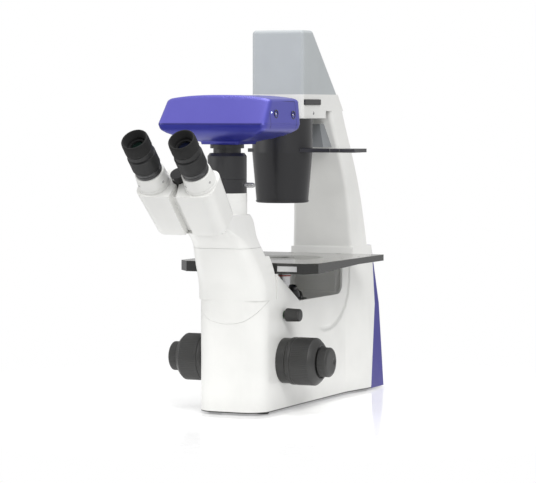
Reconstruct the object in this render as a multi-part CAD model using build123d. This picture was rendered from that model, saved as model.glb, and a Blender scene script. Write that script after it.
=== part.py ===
from build123d import *
from math import cos, sin, radians, sqrt, pi
import os

# An inverted microscope with a trinocular head, a camera on its phototube and a lamp arm over the stage.
# Millimetres. While it is built, the optical axis of the stage is X = 0, Y = 0 and the bench is Z = 0.
# X points to the user's right, Y away from the user. At the end everything is moved along Y by one
# shift, so that the origin lies under the middle of the whole instrument.

# General clearances
GAP = 0.3                  # between pieces that pass each other
RUN = 0.05                 # radial running fit of shafts
SCREW_GAP = 0.2            # radial room round a screw's shank

# Feet and base
FOOT_HEIGHT = 3.0
FOOT_RADIUS = 9.0
FOOT_SINK = 1.5            # depth of the recess that holds a foot
BASE_THICK = 9.0

# Stand shell
WALL = 3.0
BODY_HALF = 48.0           # half width of the body
BODY_FRONT = -176.0
FRONT_ROUND = 28.0
FLARE_START = 108.0
FLARE_END = 180.0
REAR_HALF_LOW = 58.0       # half width at the rear, at the foot
REAR_HALF_MID = 52.0
REAR_HALF_TOP = 46.0
REAR_LOW = 232.0
REAR_MID = 228.0
REAR_TOP = 213.0
MID_HEIGHT = 121.0
SHOULDER = 205.0           # top of the lower body behind the stage
REAR_ROUND = 8.0

# Window under the stage
WINDOW_FLOOR = 143.0
WINDOW_FRONT_LOW = -51.0
WINDOW_FRONT_HIGH = -121.0
WINDOW_REAR = 96.0
WINDOW_ROUND = 16.0

# Rear panel
PANEL_THICK = 2.5
PANEL_SEAM_LOW = 178.0
PANEL_SEAM_MID = 206.0
PANEL_SEAM_TOP = 209.0

# Stage
STAGE_TOP = 197.0
STAGE_HALF = 100.0
STAGE_FRONT = -122.5
STAGE_REAR = 120.5
STAGE_FRONT_THICK = 14.0
STAGE_REAR_THICK = 8.5
STAGE_TAPER_END = 30.0
STAGE_CORNER = 15.0
OPENING_RADIUS = 55.0
OPENING_LIP = 4.0
INSERT_THICK = 3.0
INSERT_HOLE = 17.0
PLATE_WIDTH = 28.0
PLATE_HEIGHT = 7.0
PLATE_THICK = 0.8

# Column
COLUMN = (                 # height, half width, front, rear
    (SHOULDER, 46.0, 137.0, 195.0),
    (260.0, 43.0, 132.0, 184.0),
    (310.0, 41.0, 119.0, 166.0),
    (350.0, 39.5, 99.0, 146.0),
    (396.0, 38.3, 79.0, 122.0),
)
COLUMN_ROUND = 6.0
COLUMN_WALL = 3.0

# Lamp arm and lamp housing
ARM_HALF = 38.3
ARM_FRONT = -17.0
ARM_BOTTOM = 386.0
ARM_STEP = 396.0
ARM_STEP_Y = 60.0
ARM_REAR_LOW = 122.0
ARM_REAR_HIGH = 102.0
SEAM = 418.5               # between the arm and the lamp housing
LAMP_TOP = 505.0
LAMP_TOP_DEPTH = 34.0
LAMP_ROUND = 5.0
TRAY_FRONT = -13.5
TRAY_REAR = 40.0
TRAY_LEFT = -30.0
TRAY_THICK = 7.0
TRAY_Z = 408.0
TRAY_OUT = 1.5             # how far the tray's end stands out of the arm
FILTER_RADIUS = 11.0

# Condenser
COND_RADIUS = 41.0
COND_MOUTH = 35.0
COND_TOP = ARM_BOTTOM - GAP
COND_BREAK = 340.0
COND_BOTTOM = 272.0
COND_WALL = 3.0
SLIDER_Z = 343.0
SLIDER_THICK = 5.0
SLIDER_DEPTH = 42.0
SLIDER_LEFT = -42.0
SLIDER_RIGHT = 115.0
RAIL_LOW = 346.0
RAIL_HIGH = 378.0
COND_TRAVEL = 20.0

# Focus drive
FOCUS_Y = -100.0
FOCUS_Z = 67.0
FLANGE_RADIUS = 30.0
FLANGE_OUT = 60.0
COARSE_RADIUS = 31.5
COARSE_OUT = 101.5
FINE_RADIUS = 19.5
FINE_OUT = 115.5
FINE_SHAFT = 3.0
COARSE_SHAFT = 6.0
BUSH_WALL = 4.0
PINION_PITCH = 8.0
PINION_TEETH = 16
TOOTH_HEIGHT = 1.6
RACK_X = 22.0
RACK_WIDTH = 10.0

# Brightness knob
DIM_Z = 127.5
DIM_RADIUS = 8.2
DIM_LENGTH = 20.0
DIM_OUT = 3.5              # room between the body and the knob
DIM_SHAFT = 3.0

# Nosepiece
TURRET_TILT = 15.0
TURRET_RADIUS = 37.0
TURRET_THICK = 12.0
SEAT_CIRCLE = 24.0
SEAT_Z = 152.0
OBJECTIVES = 4
OBJ_RADIUS = 11.5
OBJ_THREAD = 10.0
SPINDLE = 5.0

# Trinocular head
TUBE_PITCH = 45.0
EYE_HALF = 32.4
EYE_Y = -374.0
PHOTO_BASE = 262.0         # top of the viewing head, where the phototube stands
EYE_Z = PHOTO_BASE + 100.0
HINGE_RISE = 8.0           # hinge axis above the plane of the two eyepieces
SWING = 9.0
CUP_RADIUS = 17.8
CUP_LENGTH = 18.0
RING_LENGTH = 30.0
RING_BAND = 8.0            # smooth band under the eyecup
RING_RADIUS = 18.5
BARREL_RADIUS = 17.3
BARREL_LENGTH = 9.0
SPIGOT_RADIUS = 14.0       # inner tube of the eyepiece, in the diopter ring and in the viewing tube
SPIGOT_WALL = 2.5
LENS_RADIUS = 9.0
TUBE_RADIUS = 19.0
TUBE_FOOT = 21.5
TUBE_LENGTH = 22.0
HOUSING_LENGTH = 70.0
HOUSING_WIDTH = 54.0
HOUSING_TAPER = 5.0
HOUSING_DEPTH = 23.5
HOUSING_ROUND = 15.0
LOBE_RADIUS = 24.0
LOBE_LENGTH = 31.0
NOSE_RADIUS = 29.0
CAP_RADIUS = 9.5
CAP_AT = 69.0

# Phototube, adapter and camera
PHOTO_Y = -175.0
PHOTO_RADIUS = 26.0
PHOTO_TOP = PHOTO_BASE + 28.0
ADAPTER_TOP = PHOTO_TOP + 48.0
ADAPTER_RADIUS = 25.5
NECK_RADIUS = 18.0
NECK_TOP = ADAPTER_TOP + 10.0
CAMERA_RING_RADIUS = 22.0
CAMERA_RING = NECK_TOP + 5.0
CAMERA_LOW = CAMERA_RING + 8.0
CAMERA_BELT = CAMERA_LOW + 19.0
CAMERA_TOP = CAMERA_BELT + 37.0
CAMERA_HALF = 77.0
CAMERA_FRONT = -228.0
CAMERA_REAR = -118.0
CAMERA_WALL = 2.5
CAMERA_ROUND = 8.0

# Directions
X_AXIS = (1, 0, 0)
Y_AXIS = (0, 1, 0)
Z_AXIS = (0, 0, 1)
TILT = radians(TUBE_PITCH)
DOWN_TUBE = Vector(0, cos(TILT), -sin(TILT))      # along the viewing tubes, away from the eye
OFF_TUBE = Vector(0, sin(TILT), cos(TILT))        # square to the tubes, upwards
EYE = {"left": Vector(-EYE_HALF, EYE_Y, EYE_Z), "right": Vector(EYE_HALF, EYE_Y, EYE_Z)}
HINGE = Vector(0, EYE_Y, EYE_Z) + OFF_TUBE * HINGE_RISE
TURRET_LEAN = radians(TURRET_TILT)
TURRET_AXIS = Vector(0, -sin(TURRET_LEAN), cos(TURRET_LEAN))
TURRET_CENTRE = Vector(0, -SEAT_CIRCLE * cos(TURRET_LEAN), SEAT_Z - SEAT_CIRCLE * sin(TURRET_LEAN))

NODES = {}


# Building blocks
def rod(radius, start, axis, length):
    """A round bar from start along axis."""
    bar = Cylinder(radius, length, align=(Align.CENTER, Align.CENTER, Align.MIN))
    return Plane(origin=start, z_dir=axis) * bar


def ring(outer, inner, start, axis, length):
    """A tube from start along axis."""
    return rod(outer, start, axis, length) - rod(inner, start, axis, length)


def cone(first, last, start, axis, length):
    """A round taper from start along axis."""
    body = Cone(first, last, length, align=(Align.CENTER, Align.CENTER, Align.MIN))
    return Plane(origin=start, z_dir=axis) * body


def block(x0, x1, y0, y1, z0, z1):
    """A box between two corners."""
    body = Box(x1 - x0, y1 - y0, z1 - z0)
    return Pos((x0 + x1) / 2, (y0 + y1) / 2, (z0 + z1) / 2) * body


def side_plate(points, x0, x1):
    """A plate between x0 and x1 with an outline of (y, z) points."""
    face = make_face(Polyline(*points, close=True))
    return extrude(Plane(origin=(x0, 0, 0), x_dir=Y_AXIS, z_dir=X_AXIS) * face, x1 - x0)


def footprint(z, half_front, front, half_rear, rear, flare, inset, front_round, rear_round):
    """The outline of the body at height z as a face, every side moved in by inset."""
    a, b = half_front - inset, half_rear - inset
    y0, y1 = front + inset, rear - inset
    slant = inset * (half_rear - half_front) / (flare[1] - flare[0])
    points = [(a, y0), (a, flare[0] + slant), (b, flare[1] + slant), (b, y1)]
    points += [(-x, y) for x, y in reversed(points)]
    face = make_face(Polyline(*points, close=True))
    corners = face.vertices().sort_by(Axis.Y)
    face = fillet(corners[:2], front_round - inset)
    face = fillet(face.vertices().sort_by(Axis.Y)[-2:], rear_round - inset)
    return Pos(0, 0, z) * face


def body_block(inset, low, high=SHOULDER):
    """The whole lower body from low to high as one solid, moved in by inset."""
    levels = (
        (FOOT_HEIGHT, REAR_HALF_LOW, REAR_LOW),
        (MID_HEIGHT, REAR_HALF_MID, REAR_MID),
        (SHOULDER, REAR_HALF_TOP, REAR_TOP),
    )
    faces = [
        footprint(z, BODY_HALF, BODY_FRONT, half, rear, (FLARE_START, FLARE_END),
                  inset, FRONT_ROUND, REAR_ROUND)
        for z, half, rear in levels
    ]
    solid = loft(faces, ruled=True)
    return solid & block(-STAGE_HALF, STAGE_HALF, BODY_FRONT, REAR_LOW, low, high)


def rounded_level(z, half, front, rear, corner):
    """A horizontal rounded rectangle at height z."""
    return Pos(0, (front + rear) / 2, z) * RectangleRounded(2 * half, rear - front, corner)


def column_block(inset):
    """The bent, tapering column, moved in by inset."""
    return loft([
        rounded_level(z, half - inset, front + inset, rear - inset, COLUMN_ROUND - inset)
        for z, half, front, rear in COLUMN
    ])


def stage_underside(y, drop=0.0):
    """Height of the stage's underside at y."""
    front = STAGE_TOP - STAGE_FRONT_THICK
    rear = STAGE_TOP - STAGE_REAR_THICK
    share = (y - STAGE_FRONT) / (STAGE_TAPER_END - STAGE_FRONT)
    return front + (rear - front) * min(max(share, 0.0), 1.0) - drop


def hexagon_screw(radius, start, axis, length):
    """A cap screw: start is under its head, the shank runs along axis."""
    head = rod(radius * 1.8, start, Vector(*axis) * -1, radius * 2)
    socket = Plane(origin=start, z_dir=Vector(*axis) * -1) * extrude(RegularPolygon(radius, 6), radius * 2)
    socket = Pos(*(Vector(*axis) * -radius)) * socket
    return head - socket + rod(radius, start, axis, length)


def add(name, *solids):
    """Keep one or several separate solids as the node called name."""
    NODES[name] = list(solids)


# Base plate, feet and the screws that hold the shell
FOOT_PLACES = [(x * (BODY_HALF - 14), y) for x in (-1, 1) for y in (BODY_FRONT + 36, REAR_LOW - 34)]
BASE_SCREW_PLACES = [(x * (BODY_HALF - 30), y) for x in (-1, 1) for y in (BODY_FRONT + 36, REAR_LOW - 34)]
BASE_TOP = FOOT_HEIGHT + BASE_THICK


def base_plate():
    plate = body_block(WALL + GAP, FOOT_HEIGHT, BASE_TOP)
    for x, y in FOOT_PLACES:
        plate -= rod(FOOT_RADIUS + SCREW_GAP, (x, y, FOOT_HEIGHT), Z_AXIS, FOOT_SINK)
    for x, y in BASE_SCREW_PLACES:
        plate -= rod(2 + SCREW_GAP, (x, y, FOOT_HEIGHT), Z_AXIS, BASE_THICK)
        plate -= rod(4, (x, y, FOOT_HEIGHT), Z_AXIS, 4)
    return plate


def rubber_foot(x, y):
    foot = rod(FOOT_RADIUS, (x, y, 0), Z_AXIS, FOOT_HEIGHT + FOOT_SINK)
    return chamfer(foot.edges().sort_by(Axis.Z)[:1], 0.8)


add("base_plate", base_plate())
add("rubber_feet", *[rubber_foot(x, y) for x, y in FOOT_PLACES])

# The seam between the stand and the head cover is a round trough that rises away from the user
SEAM_TILT = 25.0
SEAM_RADIUS = 80.0
SEAM_BOTTOM = 119.0
NECK_JOIN = 150.0
NECK_FORM = (              # share of the neck's rise, half width, front, rear, corner
    (0.0, 48.0, -176.0, -123.8, 22.0),
    (0.116, 47.9, -176.9, -123.8, 22.0),
    (0.232, 47.2, -180.0, -124.2, 21.0),
    (0.357, 45.8, -186.5, -127.5, 19.0),
    (0.509, 43.0, -197.0, -135.5, 18.0),
    (0.768, 35.0, -228.5, -148.0, 17.0),
    (1.0, 27.0, -262.0, -149.5, 18.0),
)
NECK_LEVELS = [(NECK_JOIN + share * (PHOTO_BASE - NECK_JOIN), *form) for share, *form in NECK_FORM]
HEEL_LEVELS = NECK_LEVELS[:5]
NECK_REAR = -123.5
NECK_HEEL = 3.0            # corner radius at the neck's rear, where it meets the stand
HEEL_FRONT = -150.0
HEAD_SEAM = PHOTO_BASE - 43.0    # level seam between the neck cover and the viewing head
NOSE_FLOOR = PHOTO_BASE - 20.0


def seam_trough(grow):
    """Everything above the round seam, in front of the stage."""
    lean = radians(SEAM_TILT)
    axis = Vector(0, cos(lean), sin(lean))
    up = Vector(0, -sin(lean), cos(lean))
    middle = Vector(0, BODY_FRONT, SEAM_BOTTOM) + up * SEAM_RADIUS - axis * 60
    trough = rod(SEAM_RADIUS - grow, middle, axis, 160)
    top = SHOULDER + WALL
    above = block(-STAGE_HALF, STAGE_HALF, BODY_FRONT - 60, NECK_REAR, NECK_JOIN, top)
    return (trough + above) & block(-STAGE_HALF, STAGE_HALF, BODY_FRONT - 60, NECK_REAR - grow, 0, top)


def neck_block(inset):
    """The neck above the body, up to the phototube and forward to the viewing head."""
    levels = [
        rounded_level(z, half - inset, front + inset, rear - inset, corner - inset)
        for z, half, front, rear, corner in NECK_LEVELS
    ]
    neck = loft(levels)
    neck += loft([
        rounded_level(z, half - inset, HEEL_FRONT + inset, rear - inset, NECK_HEEL - inset / 2)
        for z, half, front, rear, corner in HEEL_LEVELS
    ])
    nose_start = HINGE + DOWN_TUBE * (HEAD_BACK + 2 * GAP + inset)
    nose = rod(NOSE_RADIUS - inset, nose_start, DOWN_TUBE, 50)
    under = block(-STAGE_HALF, STAGE_HALF, BODY_FRONT - 200, STAGE_REAR, NOSE_FLOOR + inset, EYE_Z)
    return neck + (nose & under)


# Where the two prism housings lie along the tubes, measured from the rim of the eyecups
BARREL_AT = CUP_LENGTH + RING_LENGTH
TUBE_AT = BARREL_AT + BARREL_LENGTH
HOUSING_AT = TUBE_AT + TUBE_LENGTH
HEAD_BACK = HOUSING_AT + HOUSING_LENGTH


def window_cut():
    """The opening through both sides of the body, below the stage."""
    points = [
        (WINDOW_FRONT_LOW, WINDOW_FLOOR),
        *[(WINDOW_REAR + WINDOW_ROUND * (sin(radians(a)) - 1),
           WINDOW_FLOOR + WINDOW_ROUND * (1 - cos(radians(a)))) for a in range(0, 91, 15)],
        (WINDOW_REAR, STAGE_TOP),
        (WINDOW_FRONT_HIGH, STAGE_TOP),
        (WINDOW_FRONT_HIGH, stage_underside(WINDOW_FRONT_HIGH) - 2),
    ]
    return side_plate(points, -STAGE_HALF, STAGE_HALF)


def stage_cut(drop):
    """The room of the stage over the body, from the neck to the column."""
    points = [
        (NECK_REAR - GAP, stage_underside(STAGE_FRONT, drop)),
        (STAGE_TAPER_END, stage_underside(STAGE_TAPER_END, drop)),
        (COLUMN[0][2] - 1, stage_underside(STAGE_REAR, drop)),
        (COLUMN[0][2] - 1, STAGE_TOP + 40),
        (NECK_REAR - GAP, STAGE_TOP + 40),
    ]
    return side_plate(points, -STAGE_HALF, STAGE_HALF)


def panel_zone(shift):
    """Everything behind the seam of the rear panel, moved back by shift."""
    points = [
        (PANEL_SEAM_LOW + shift, 0),
        (PANEL_SEAM_MID + shift, MID_HEIGHT),
        (PANEL_SEAM_TOP + shift, SHOULDER + 1),
        (REAR_LOW + 20, SHOULDER + 1),
        (REAR_LOW + 20, 0),
    ]
    return side_plate(points, -STAGE_HALF, STAGE_HALF)


# Stand shell
STAGE_SCREWS = [(side * (BODY_HALF - 12), STAGE_REAR - 10) for side in (-1, 1)]
POST_RADIUS = 6.0
TUNNEL_REAR = COLUMN[0][2] - WALL
DECK_HOLE_ROUND = 3.0
BUSH_RADIUS = COARSE_SHAFT + RUN + BUSH_WALL
DIM_BUSH = DIM_SHAFT + RUN + 2.5
SWITCH_Z = 52.0
INLET_Z = 52.0
SWITCH_X = -24.0
INLET_X = 14.0
INLET_WIDTH = 27.0
INLET_HEIGHT = 20.0
SWITCH_WIDTH = 13.0
SWITCH_HEIGHT = 21.0


def stand_shell():
    shell = body_block(0, FOOT_HEIGHT, SHOULDER)
    lower = body_block(WALL, FOOT_HEIGHT, WINDOW_FLOOR - WALL)
    rear = body_block(WALL, FOOT_HEIGHT, SHOULDER - WALL)
    rear &= block(-STAGE_HALF, STAGE_HALF, TUNNEL_REAR + WALL, REAR_LOW, FOOT_HEIGHT, SHOULDER)
    front = body_block(WALL, FOOT_HEIGHT, SHOULDER)
    front &= side_plate([
        (BODY_FRONT, WINDOW_FLOOR - WALL - 1),
        (WINDOW_FRONT_LOW - 3 * WALL, WINDOW_FLOOR - WALL - 1),
        (WINDOW_FRONT_HIGH - 2 * WALL, SHOULDER),
        (BODY_FRONT, SHOULDER),
    ], -STAGE_HALF, STAGE_HALF)
    tunnel = body_block(WALL, WINDOW_FLOOR, SHOULDER) & side_plate([
        (WINDOW_FRONT_LOW, WINDOW_FLOOR),
        (TUNNEL_REAR, WINDOW_FLOOR),
        (TUNNEL_REAR, STAGE_TOP),
        (WINDOW_FRONT_HIGH, STAGE_TOP),
        (WINDOW_FRONT_HIGH, stage_underside(WINDOW_FRONT_HIGH) - 2),
    ], -STAGE_HALF, STAGE_HALF)
    shell -= [lower, rear, front, tunnel, window_cut(), stage_cut(GAP), seam_trough(0), panel_zone(0)]
    shell -= rod(TURRET_RADIUS + 5, TURRET_CENTRE - TURRET_AXIS * 40, TURRET_AXIS, 60)
    for side in (-1, 1):
        out = (side, 0, 0)
        shell -= rod(BUSH_RADIUS, (side * BODY_HALF * 0.8, FOCUS_Y, FOCUS_Z), out, BODY_HALF)
    for x, y in STAGE_SCREWS:
        shell -= rod(POST_RADIUS + GAP, (x, y, BASE_TOP), Z_AXIS, STAGE_TOP)
    shell -= rod(DIM_BUSH, (BODY_HALF * 0.8, FOCUS_Y, DIM_Z), X_AXIS, BODY_HALF)
    _, half, col_front, col_rear = COLUMN[0]
    hole = rounded_level(SHOULDER - 2 * WALL, half - COLUMN_WALL, col_front + COLUMN_WALL,
                         min(col_rear, PANEL_SEAM_MID) - COLUMN_WALL - 6, DECK_HOLE_ROUND)
    return shell - extrude(hole, 3 * WALL)


add("stand_shell", stand_shell())


def rear_panel():
    zone = panel_zone(GAP)
    panel = (body_block(0, FOOT_HEIGHT, SHOULDER) & zone) - body_block(PANEL_THICK, FOOT_HEIGHT, SHOULDER)
    panel -= block(INLET_X - INLET_WIDTH / 2, INLET_X + INLET_WIDTH / 2, REAR_MID - 10, REAR_LOW + 1,
                   INLET_Z - INLET_HEIGHT / 2, INLET_Z + INLET_HEIGHT / 2)
    panel -= block(SWITCH_X - SWITCH_WIDTH / 2, SWITCH_X + SWITCH_WIDTH / 2, REAR_MID - 10, REAR_LOW + 1,
                   SWITCH_Z - SWITCH_HEIGHT / 2, SWITCH_Z + SWITCH_HEIGHT / 2)
    return panel


add("rear_panel", rear_panel())


# Neck cover with its round bottom, and the body of the viewing head on top of it
def neck_shell():
    """Both covers as one hollow form, before they are parted at the level seam."""
    low = body_block(0, SEAM_BOTTOM - 30, NECK_JOIN) & seam_trough(GAP)
    cover = low + neck_block(0)
    hollow = (body_block(WALL, SEAM_BOTTOM - 30, NECK_JOIN + 1) & seam_trough(GAP)) + neck_block(WALL)
    reach = PHOTO_BASE - WALL
    hollow &= block(-STAGE_HALF, STAGE_HALF, EYE_Y, NECK_REAR - WALL - 1, 0, reach)
    cover -= hollow
    cover -= block(-STAGE_HALF, STAGE_HALF, NECK_REAR, STAGE_REAR, 0, STAGE_TOP)
    cover -= rod(PHOTO_RADIUS - 2 * WALL, (0, PHOTO_Y, PHOTO_BASE - 2 * WALL), Z_AXIS, 4 * WALL)
    start = HINGE + DOWN_TUBE * HEAD_BACK
    return cover - rod(NOSE_RADIUS - 2 * WALL, start, DOWN_TUBE, 36)


SPLITTER = 24.0
SPLITTER_Z = PHOTO_BASE - 30.0


def splitter_cage():
    """The cage under the phototube that holds the beam splitter."""
    top = PHOTO_BASE - WALL
    half = SPLITTER / 2
    low = SPLITTER_Z - half
    cage = block(-half - 3, half + 3, PHOTO_Y - half - 3, PHOTO_Y + half + 3, low - 3, top)
    cage -= block(-half, half, PHOTO_Y - half - 4, PHOTO_Y + half, low, SPLITTER_Z + half)
    return cage - rod(10, (0, PHOTO_Y, low - 4), Z_AXIS, top - low + 8)


covers = neck_shell()
head_zone = block(-STAGE_HALF, STAGE_HALF, EYE_Y, STAGE_REAR, HEAD_SEAM + GAP, EYE_Z)
add("neck_cover", covers & block(-STAGE_HALF, STAGE_HALF, EYE_Y, STAGE_REAR, 0, HEAD_SEAM))
add("head_body", (covers & head_zone) + splitter_cage())


# Column, with the bent frame plate that carries the lamp arm
def column_frame():
    points_front = [(front + COLUMN_WALL + GAP + 4, z) for z, half, front, rear in COLUMN]
    points_back = [(y + 10, z) for y, z in reversed(points_front)]
    low_y = points_front[0][0]
    points = [(low_y, BASE_TOP)] + points_front + points_back + [(low_y + 10, BASE_TOP)]
    return side_plate(points, -24, 24)


add("column_shell", column_block(0) - column_block(COLUMN_WALL))
add("column_frame", column_frame())


# Lamp arm
def arm_outline(inset):
    return [
        (ARM_FRONT + inset, ARM_BOTTOM + inset),
        (ARM_STEP_Y - inset, ARM_BOTTOM + inset),
        (ARM_STEP_Y - inset, ARM_STEP + inset),
        (ARM_REAR_LOW - inset, ARM_STEP + inset),
        (ARM_REAR_HIGH - inset, SEAM - inset),
        (ARM_FRONT + inset, SEAM - inset),
    ]


ARM_OPENING = 28.0
TRAY_UNDER = TRAY_Z - TRAY_THICK / 2


def lamp_arm():
    arm = side_plate(arm_outline(0), -ARM_HALF, ARM_HALF)
    uprights = arm.edges().filter_by(Axis.Z).filter_by_position(Axis.Y, ARM_FRONT - 1, ARM_FRONT + 1)
    arm = fillet(uprights, LAMP_ROUND)
    arm -= side_plate(arm_outline(WALL), -ARM_HALF + WALL, ARM_HALF - WALL)
    arm -= rod(ARM_OPENING, (0, 0, ARM_BOTTOM - 1), Z_AXIS, 2 * WALL)
    arm -= rod(ARM_OPENING, (0, 0, SEAM - 2 * WALL), Z_AXIS, 3 * WALL)
    arm -= block(0, ARM_HALF + 5, TRAY_FRONT - GAP, TRAY_REAR + GAP,
                 TRAY_Z - TRAY_THICK / 2 - GAP, TRAY_Z + TRAY_THICK / 2 + GAP)
    frame_front = COLUMN[-1][2] + COLUMN_WALL
    for y in (TRAY_FRONT + 1, TRAY_REAR - 6):
        arm += block(-ARM_HALF + WALL, ARM_HALF - WALL, y, y + 5, ARM_BOTTOM + WALL, TRAY_UNDER - GAP)
    arm -= block(-24 - GAP, 24 + GAP, frame_front, ARM_REAR_LOW - WALL - 4, ARM_STEP - 1, ARM_STEP + 2 * WALL)
    return arm


add("lamp_arm", lamp_arm())


# Filter tray and its two runners
def filter_tray():
    tray = block(TRAY_LEFT, ARM_HALF + TRAY_OUT, TRAY_FRONT, TRAY_REAR,
                 TRAY_Z - TRAY_THICK / 2, TRAY_Z + TRAY_THICK / 2)
    tray -= rod(FILTER_RADIUS, (0, 0, TRAY_Z - TRAY_THICK), Z_AXIS, 2 * TRAY_THICK)
    tray -= rod(FILTER_RADIUS + 2, (0, 0, TRAY_Z), Z_AXIS, TRAY_THICK)
    return tray


add("filter_tray", filter_tray())
add("light_filter", rod(FILTER_RADIUS + 2 - RUN, (0, 0, TRAY_Z), Z_AXIS, 2.0))


# Lamp housing, with the light source and its collector
def lamp_outline(inset):
    return [
        (ARM_FRONT + inset, SEAM),
        (ARM_REAR_HIGH - 1.4 * inset, SEAM),
        (LAMP_TOP_DEPTH + ARM_FRONT - 0.6 * inset, LAMP_TOP - inset),
        (ARM_FRONT + inset, LAMP_TOP - inset),
    ]


LAMP_WALL = 2.5
SINK_RADIUS = 25.0
SINK_Z = 462.0
SINK_FINS = 7
SINK_FIN = 1.6
COLLECTOR_Z = 434.0
COLLECTOR_RADIUS = 10.5


def lamp_housing():
    shell = side_plate(lamp_outline(0), -ARM_HALF, ARM_HALF)
    shell = fillet(shell.edges().filter_by(Axis.X).sort_by(Axis.Z)[-2:], LAMP_ROUND)
    shell = fillet(shell.edges().filter_by(Axis.Z), LAMP_ROUND)
    return shell - side_plate(lamp_outline(LAMP_WALL), -ARM_HALF + LAMP_WALL, ARM_HALF - LAMP_WALL)


def lens(radius, z, thick, sag):
    """A double convex lens with its lower face rim at z."""
    curve = (radius ** 2 + sag ** 2) / (2 * sag)
    middle = z + thick / 2
    lower = Pos(0, 0, middle - thick / 2 - sag + curve) * Sphere(curve)
    upper = Pos(0, 0, middle + thick / 2 + sag - curve) * Sphere(curve)
    return rod(radius, (0, 0, z - sag), Z_AXIS, thick + 2 * sag) & lower & upper


def heat_sink():
    sink = rod(SINK_RADIUS, (0, 0, SINK_Z), Z_AXIS, 5)
    pitch = 2 * SINK_RADIUS / (SINK_FINS + 1)
    fins = [
        block(-SINK_RADIUS, SINK_RADIUS, y - SINK_FIN / 2, y + SINK_FIN / 2, SINK_Z, SINK_Z + 24)
        for y in (pitch * (i - (SINK_FINS - 1) / 2) for i in range(SINK_FINS))
    ]
    limit = rod(SINK_RADIUS, (0, 0, SINK_Z), Z_AXIS, 30) & block(
        -SINK_RADIUS, SINK_RADIUS, ARM_FRONT + LAMP_WALL + 2, SINK_RADIUS, SINK_Z, SINK_Z + 30)
    return (sink + fins) & limit


def lamp_tube():
    """The tube that holds the collector and carries the light source, on the arm's top face."""
    outer = COLLECTOR_RADIUS + WALL
    tube = ring(outer, COLLECTOR_RADIUS + RUN, (0, 0, SEAM), Z_AXIS, SINK_Z - SEAM)
    tube += ring(ARM_OPENING + 6, COLLECTOR_RADIUS + RUN, (0, 0, SEAM), Z_AXIS, WALL)
    tube += ring(outer, COLLECTOR_RADIUS - 2, (0, 0, COLLECTOR_Z - 4), Z_AXIS, 4)
    inside = block(-ARM_HALF, ARM_HALF, ARM_FRONT + LAMP_WALL + GAP, ARM_REAR_HIGH, SEAM, LAMP_TOP)
    return tube & inside


add("lamp_housing", lamp_housing())
add("lamp_tube", lamp_tube())
add("light_source", heat_sink(), rod(COLLECTOR_RADIUS - 1, (0, 0, SINK_Z - 1.6), Z_AXIS, 1.6)
    + rod(4, (0, 0, SINK_Z - 3.4), Z_AXIS, 2))
add("collector_lens", lens(COLLECTOR_RADIUS, COLLECTOR_Z + 2.5, 3, 2.5))


# Condenser: housing, lenses, carrier and the rail on the column
def condenser_housing():
    body = rod(COND_RADIUS, (0, 0, COND_BREAK), Z_AXIS, COND_TOP - COND_BREAK)
    body += cone(COND_MOUTH, COND_RADIUS, (0, 0, COND_BOTTOM), Z_AXIS, COND_BREAK - COND_BOTTOM)
    lip = body.edges().filter_by(GeomType.CIRCLE).sort_by(Axis.Z)[0]
    body = fillet(lip, 1.5)
    body -= rod(COND_RADIUS - COND_WALL, (0, 0, COND_BREAK), Z_AXIS, COND_TOP - COND_BREAK - COND_WALL)
    body -= cone(COND_MOUTH - COND_WALL, COND_RADIUS - COND_WALL, (0, 0, COND_BOTTOM - 0.1),
                 Z_AXIS, COND_BREAK - COND_BOTTOM + 0.2)
    body -= rod(ARM_OPENING - 4, (0, 0, COND_TOP - 2 * COND_WALL), Z_AXIS, 3 * COND_WALL)
    body += ring(COND_RADIUS - 1, TOP_LENS_RADIUS - 3, (0, 0, TOP_LENS_Z - 7), Z_AXIS, 3)
    body += ring(COND_RADIUS - 1, TOP_LENS_RADIUS + RUN, (0, 0, TOP_LENS_Z - 4), Z_AXIS, 8)
    shelf = COND_LENS_RADIUS + 4
    body += ring(shelf, COND_LENS_RADIUS - 2, (0, 0, COND_BOTTOM + 1), Z_AXIS, 2)
    slot = SLIDER_DEPTH / 2 + GAP
    half = SLIDER_THICK / 2 + GAP
    return body - block(-2 * COND_RADIUS, 2 * COND_RADIUS, -slot, slot, SLIDER_Z - half, SLIDER_Z + half)


COND_LENS_RADIUS = COND_MOUTH - COND_WALL
TOP_LENS_RADIUS = 30.0
TOP_LENS_Z = 361.0
PHASE_STOPS = (-30.0, 0.0, 30.0)
STOP_RADIUS = 12.0
STOP_SEAT = 1.5


def phase_slider():
    bar = block(SLIDER_LEFT, SLIDER_RIGHT, -SLIDER_DEPTH / 2, SLIDER_DEPTH / 2,
                SLIDER_Z - SLIDER_THICK / 2, SLIDER_Z + SLIDER_THICK / 2)
    for x in PHASE_STOPS:
        bar -= rod(STOP_RADIUS - STOP_SEAT, (x, 0, SLIDER_Z - SLIDER_THICK), Z_AXIS, 2 * SLIDER_THICK)
        bar -= rod(STOP_RADIUS, (x, 0, SLIDER_Z), Z_AXIS, SLIDER_THICK)
    for x in (SLIDER_RIGHT - 36, SLIDER_RIGHT - 22):
        for side in (-1, 1):
            bar -= rod(2.5, (x, side * SLIDER_DEPTH / 2, SLIDER_Z - SLIDER_THICK), Z_AXIS, 2 * SLIDER_THICK)
    return bar


def phase_stop(x):
    stop = ring(STOP_RADIUS - RUN, 7.5, (x, 0, SLIDER_Z), Z_AXIS, 1.2)
    stop += rod(5.0, (x, 0, SLIDER_Z), Z_AXIS, 1.2)
    return stop + block(x - 10, x + 10, -0.8, 0.8, SLIDER_Z, SLIDER_Z + 1.2) if x else stop_open()


def stop_open():
    """The middle place of the slider holds a plain iris ring."""
    return ring(STOP_RADIUS - RUN, 9.0, (0, 0, SLIDER_Z), Z_AXIS, 1.2)


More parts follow.
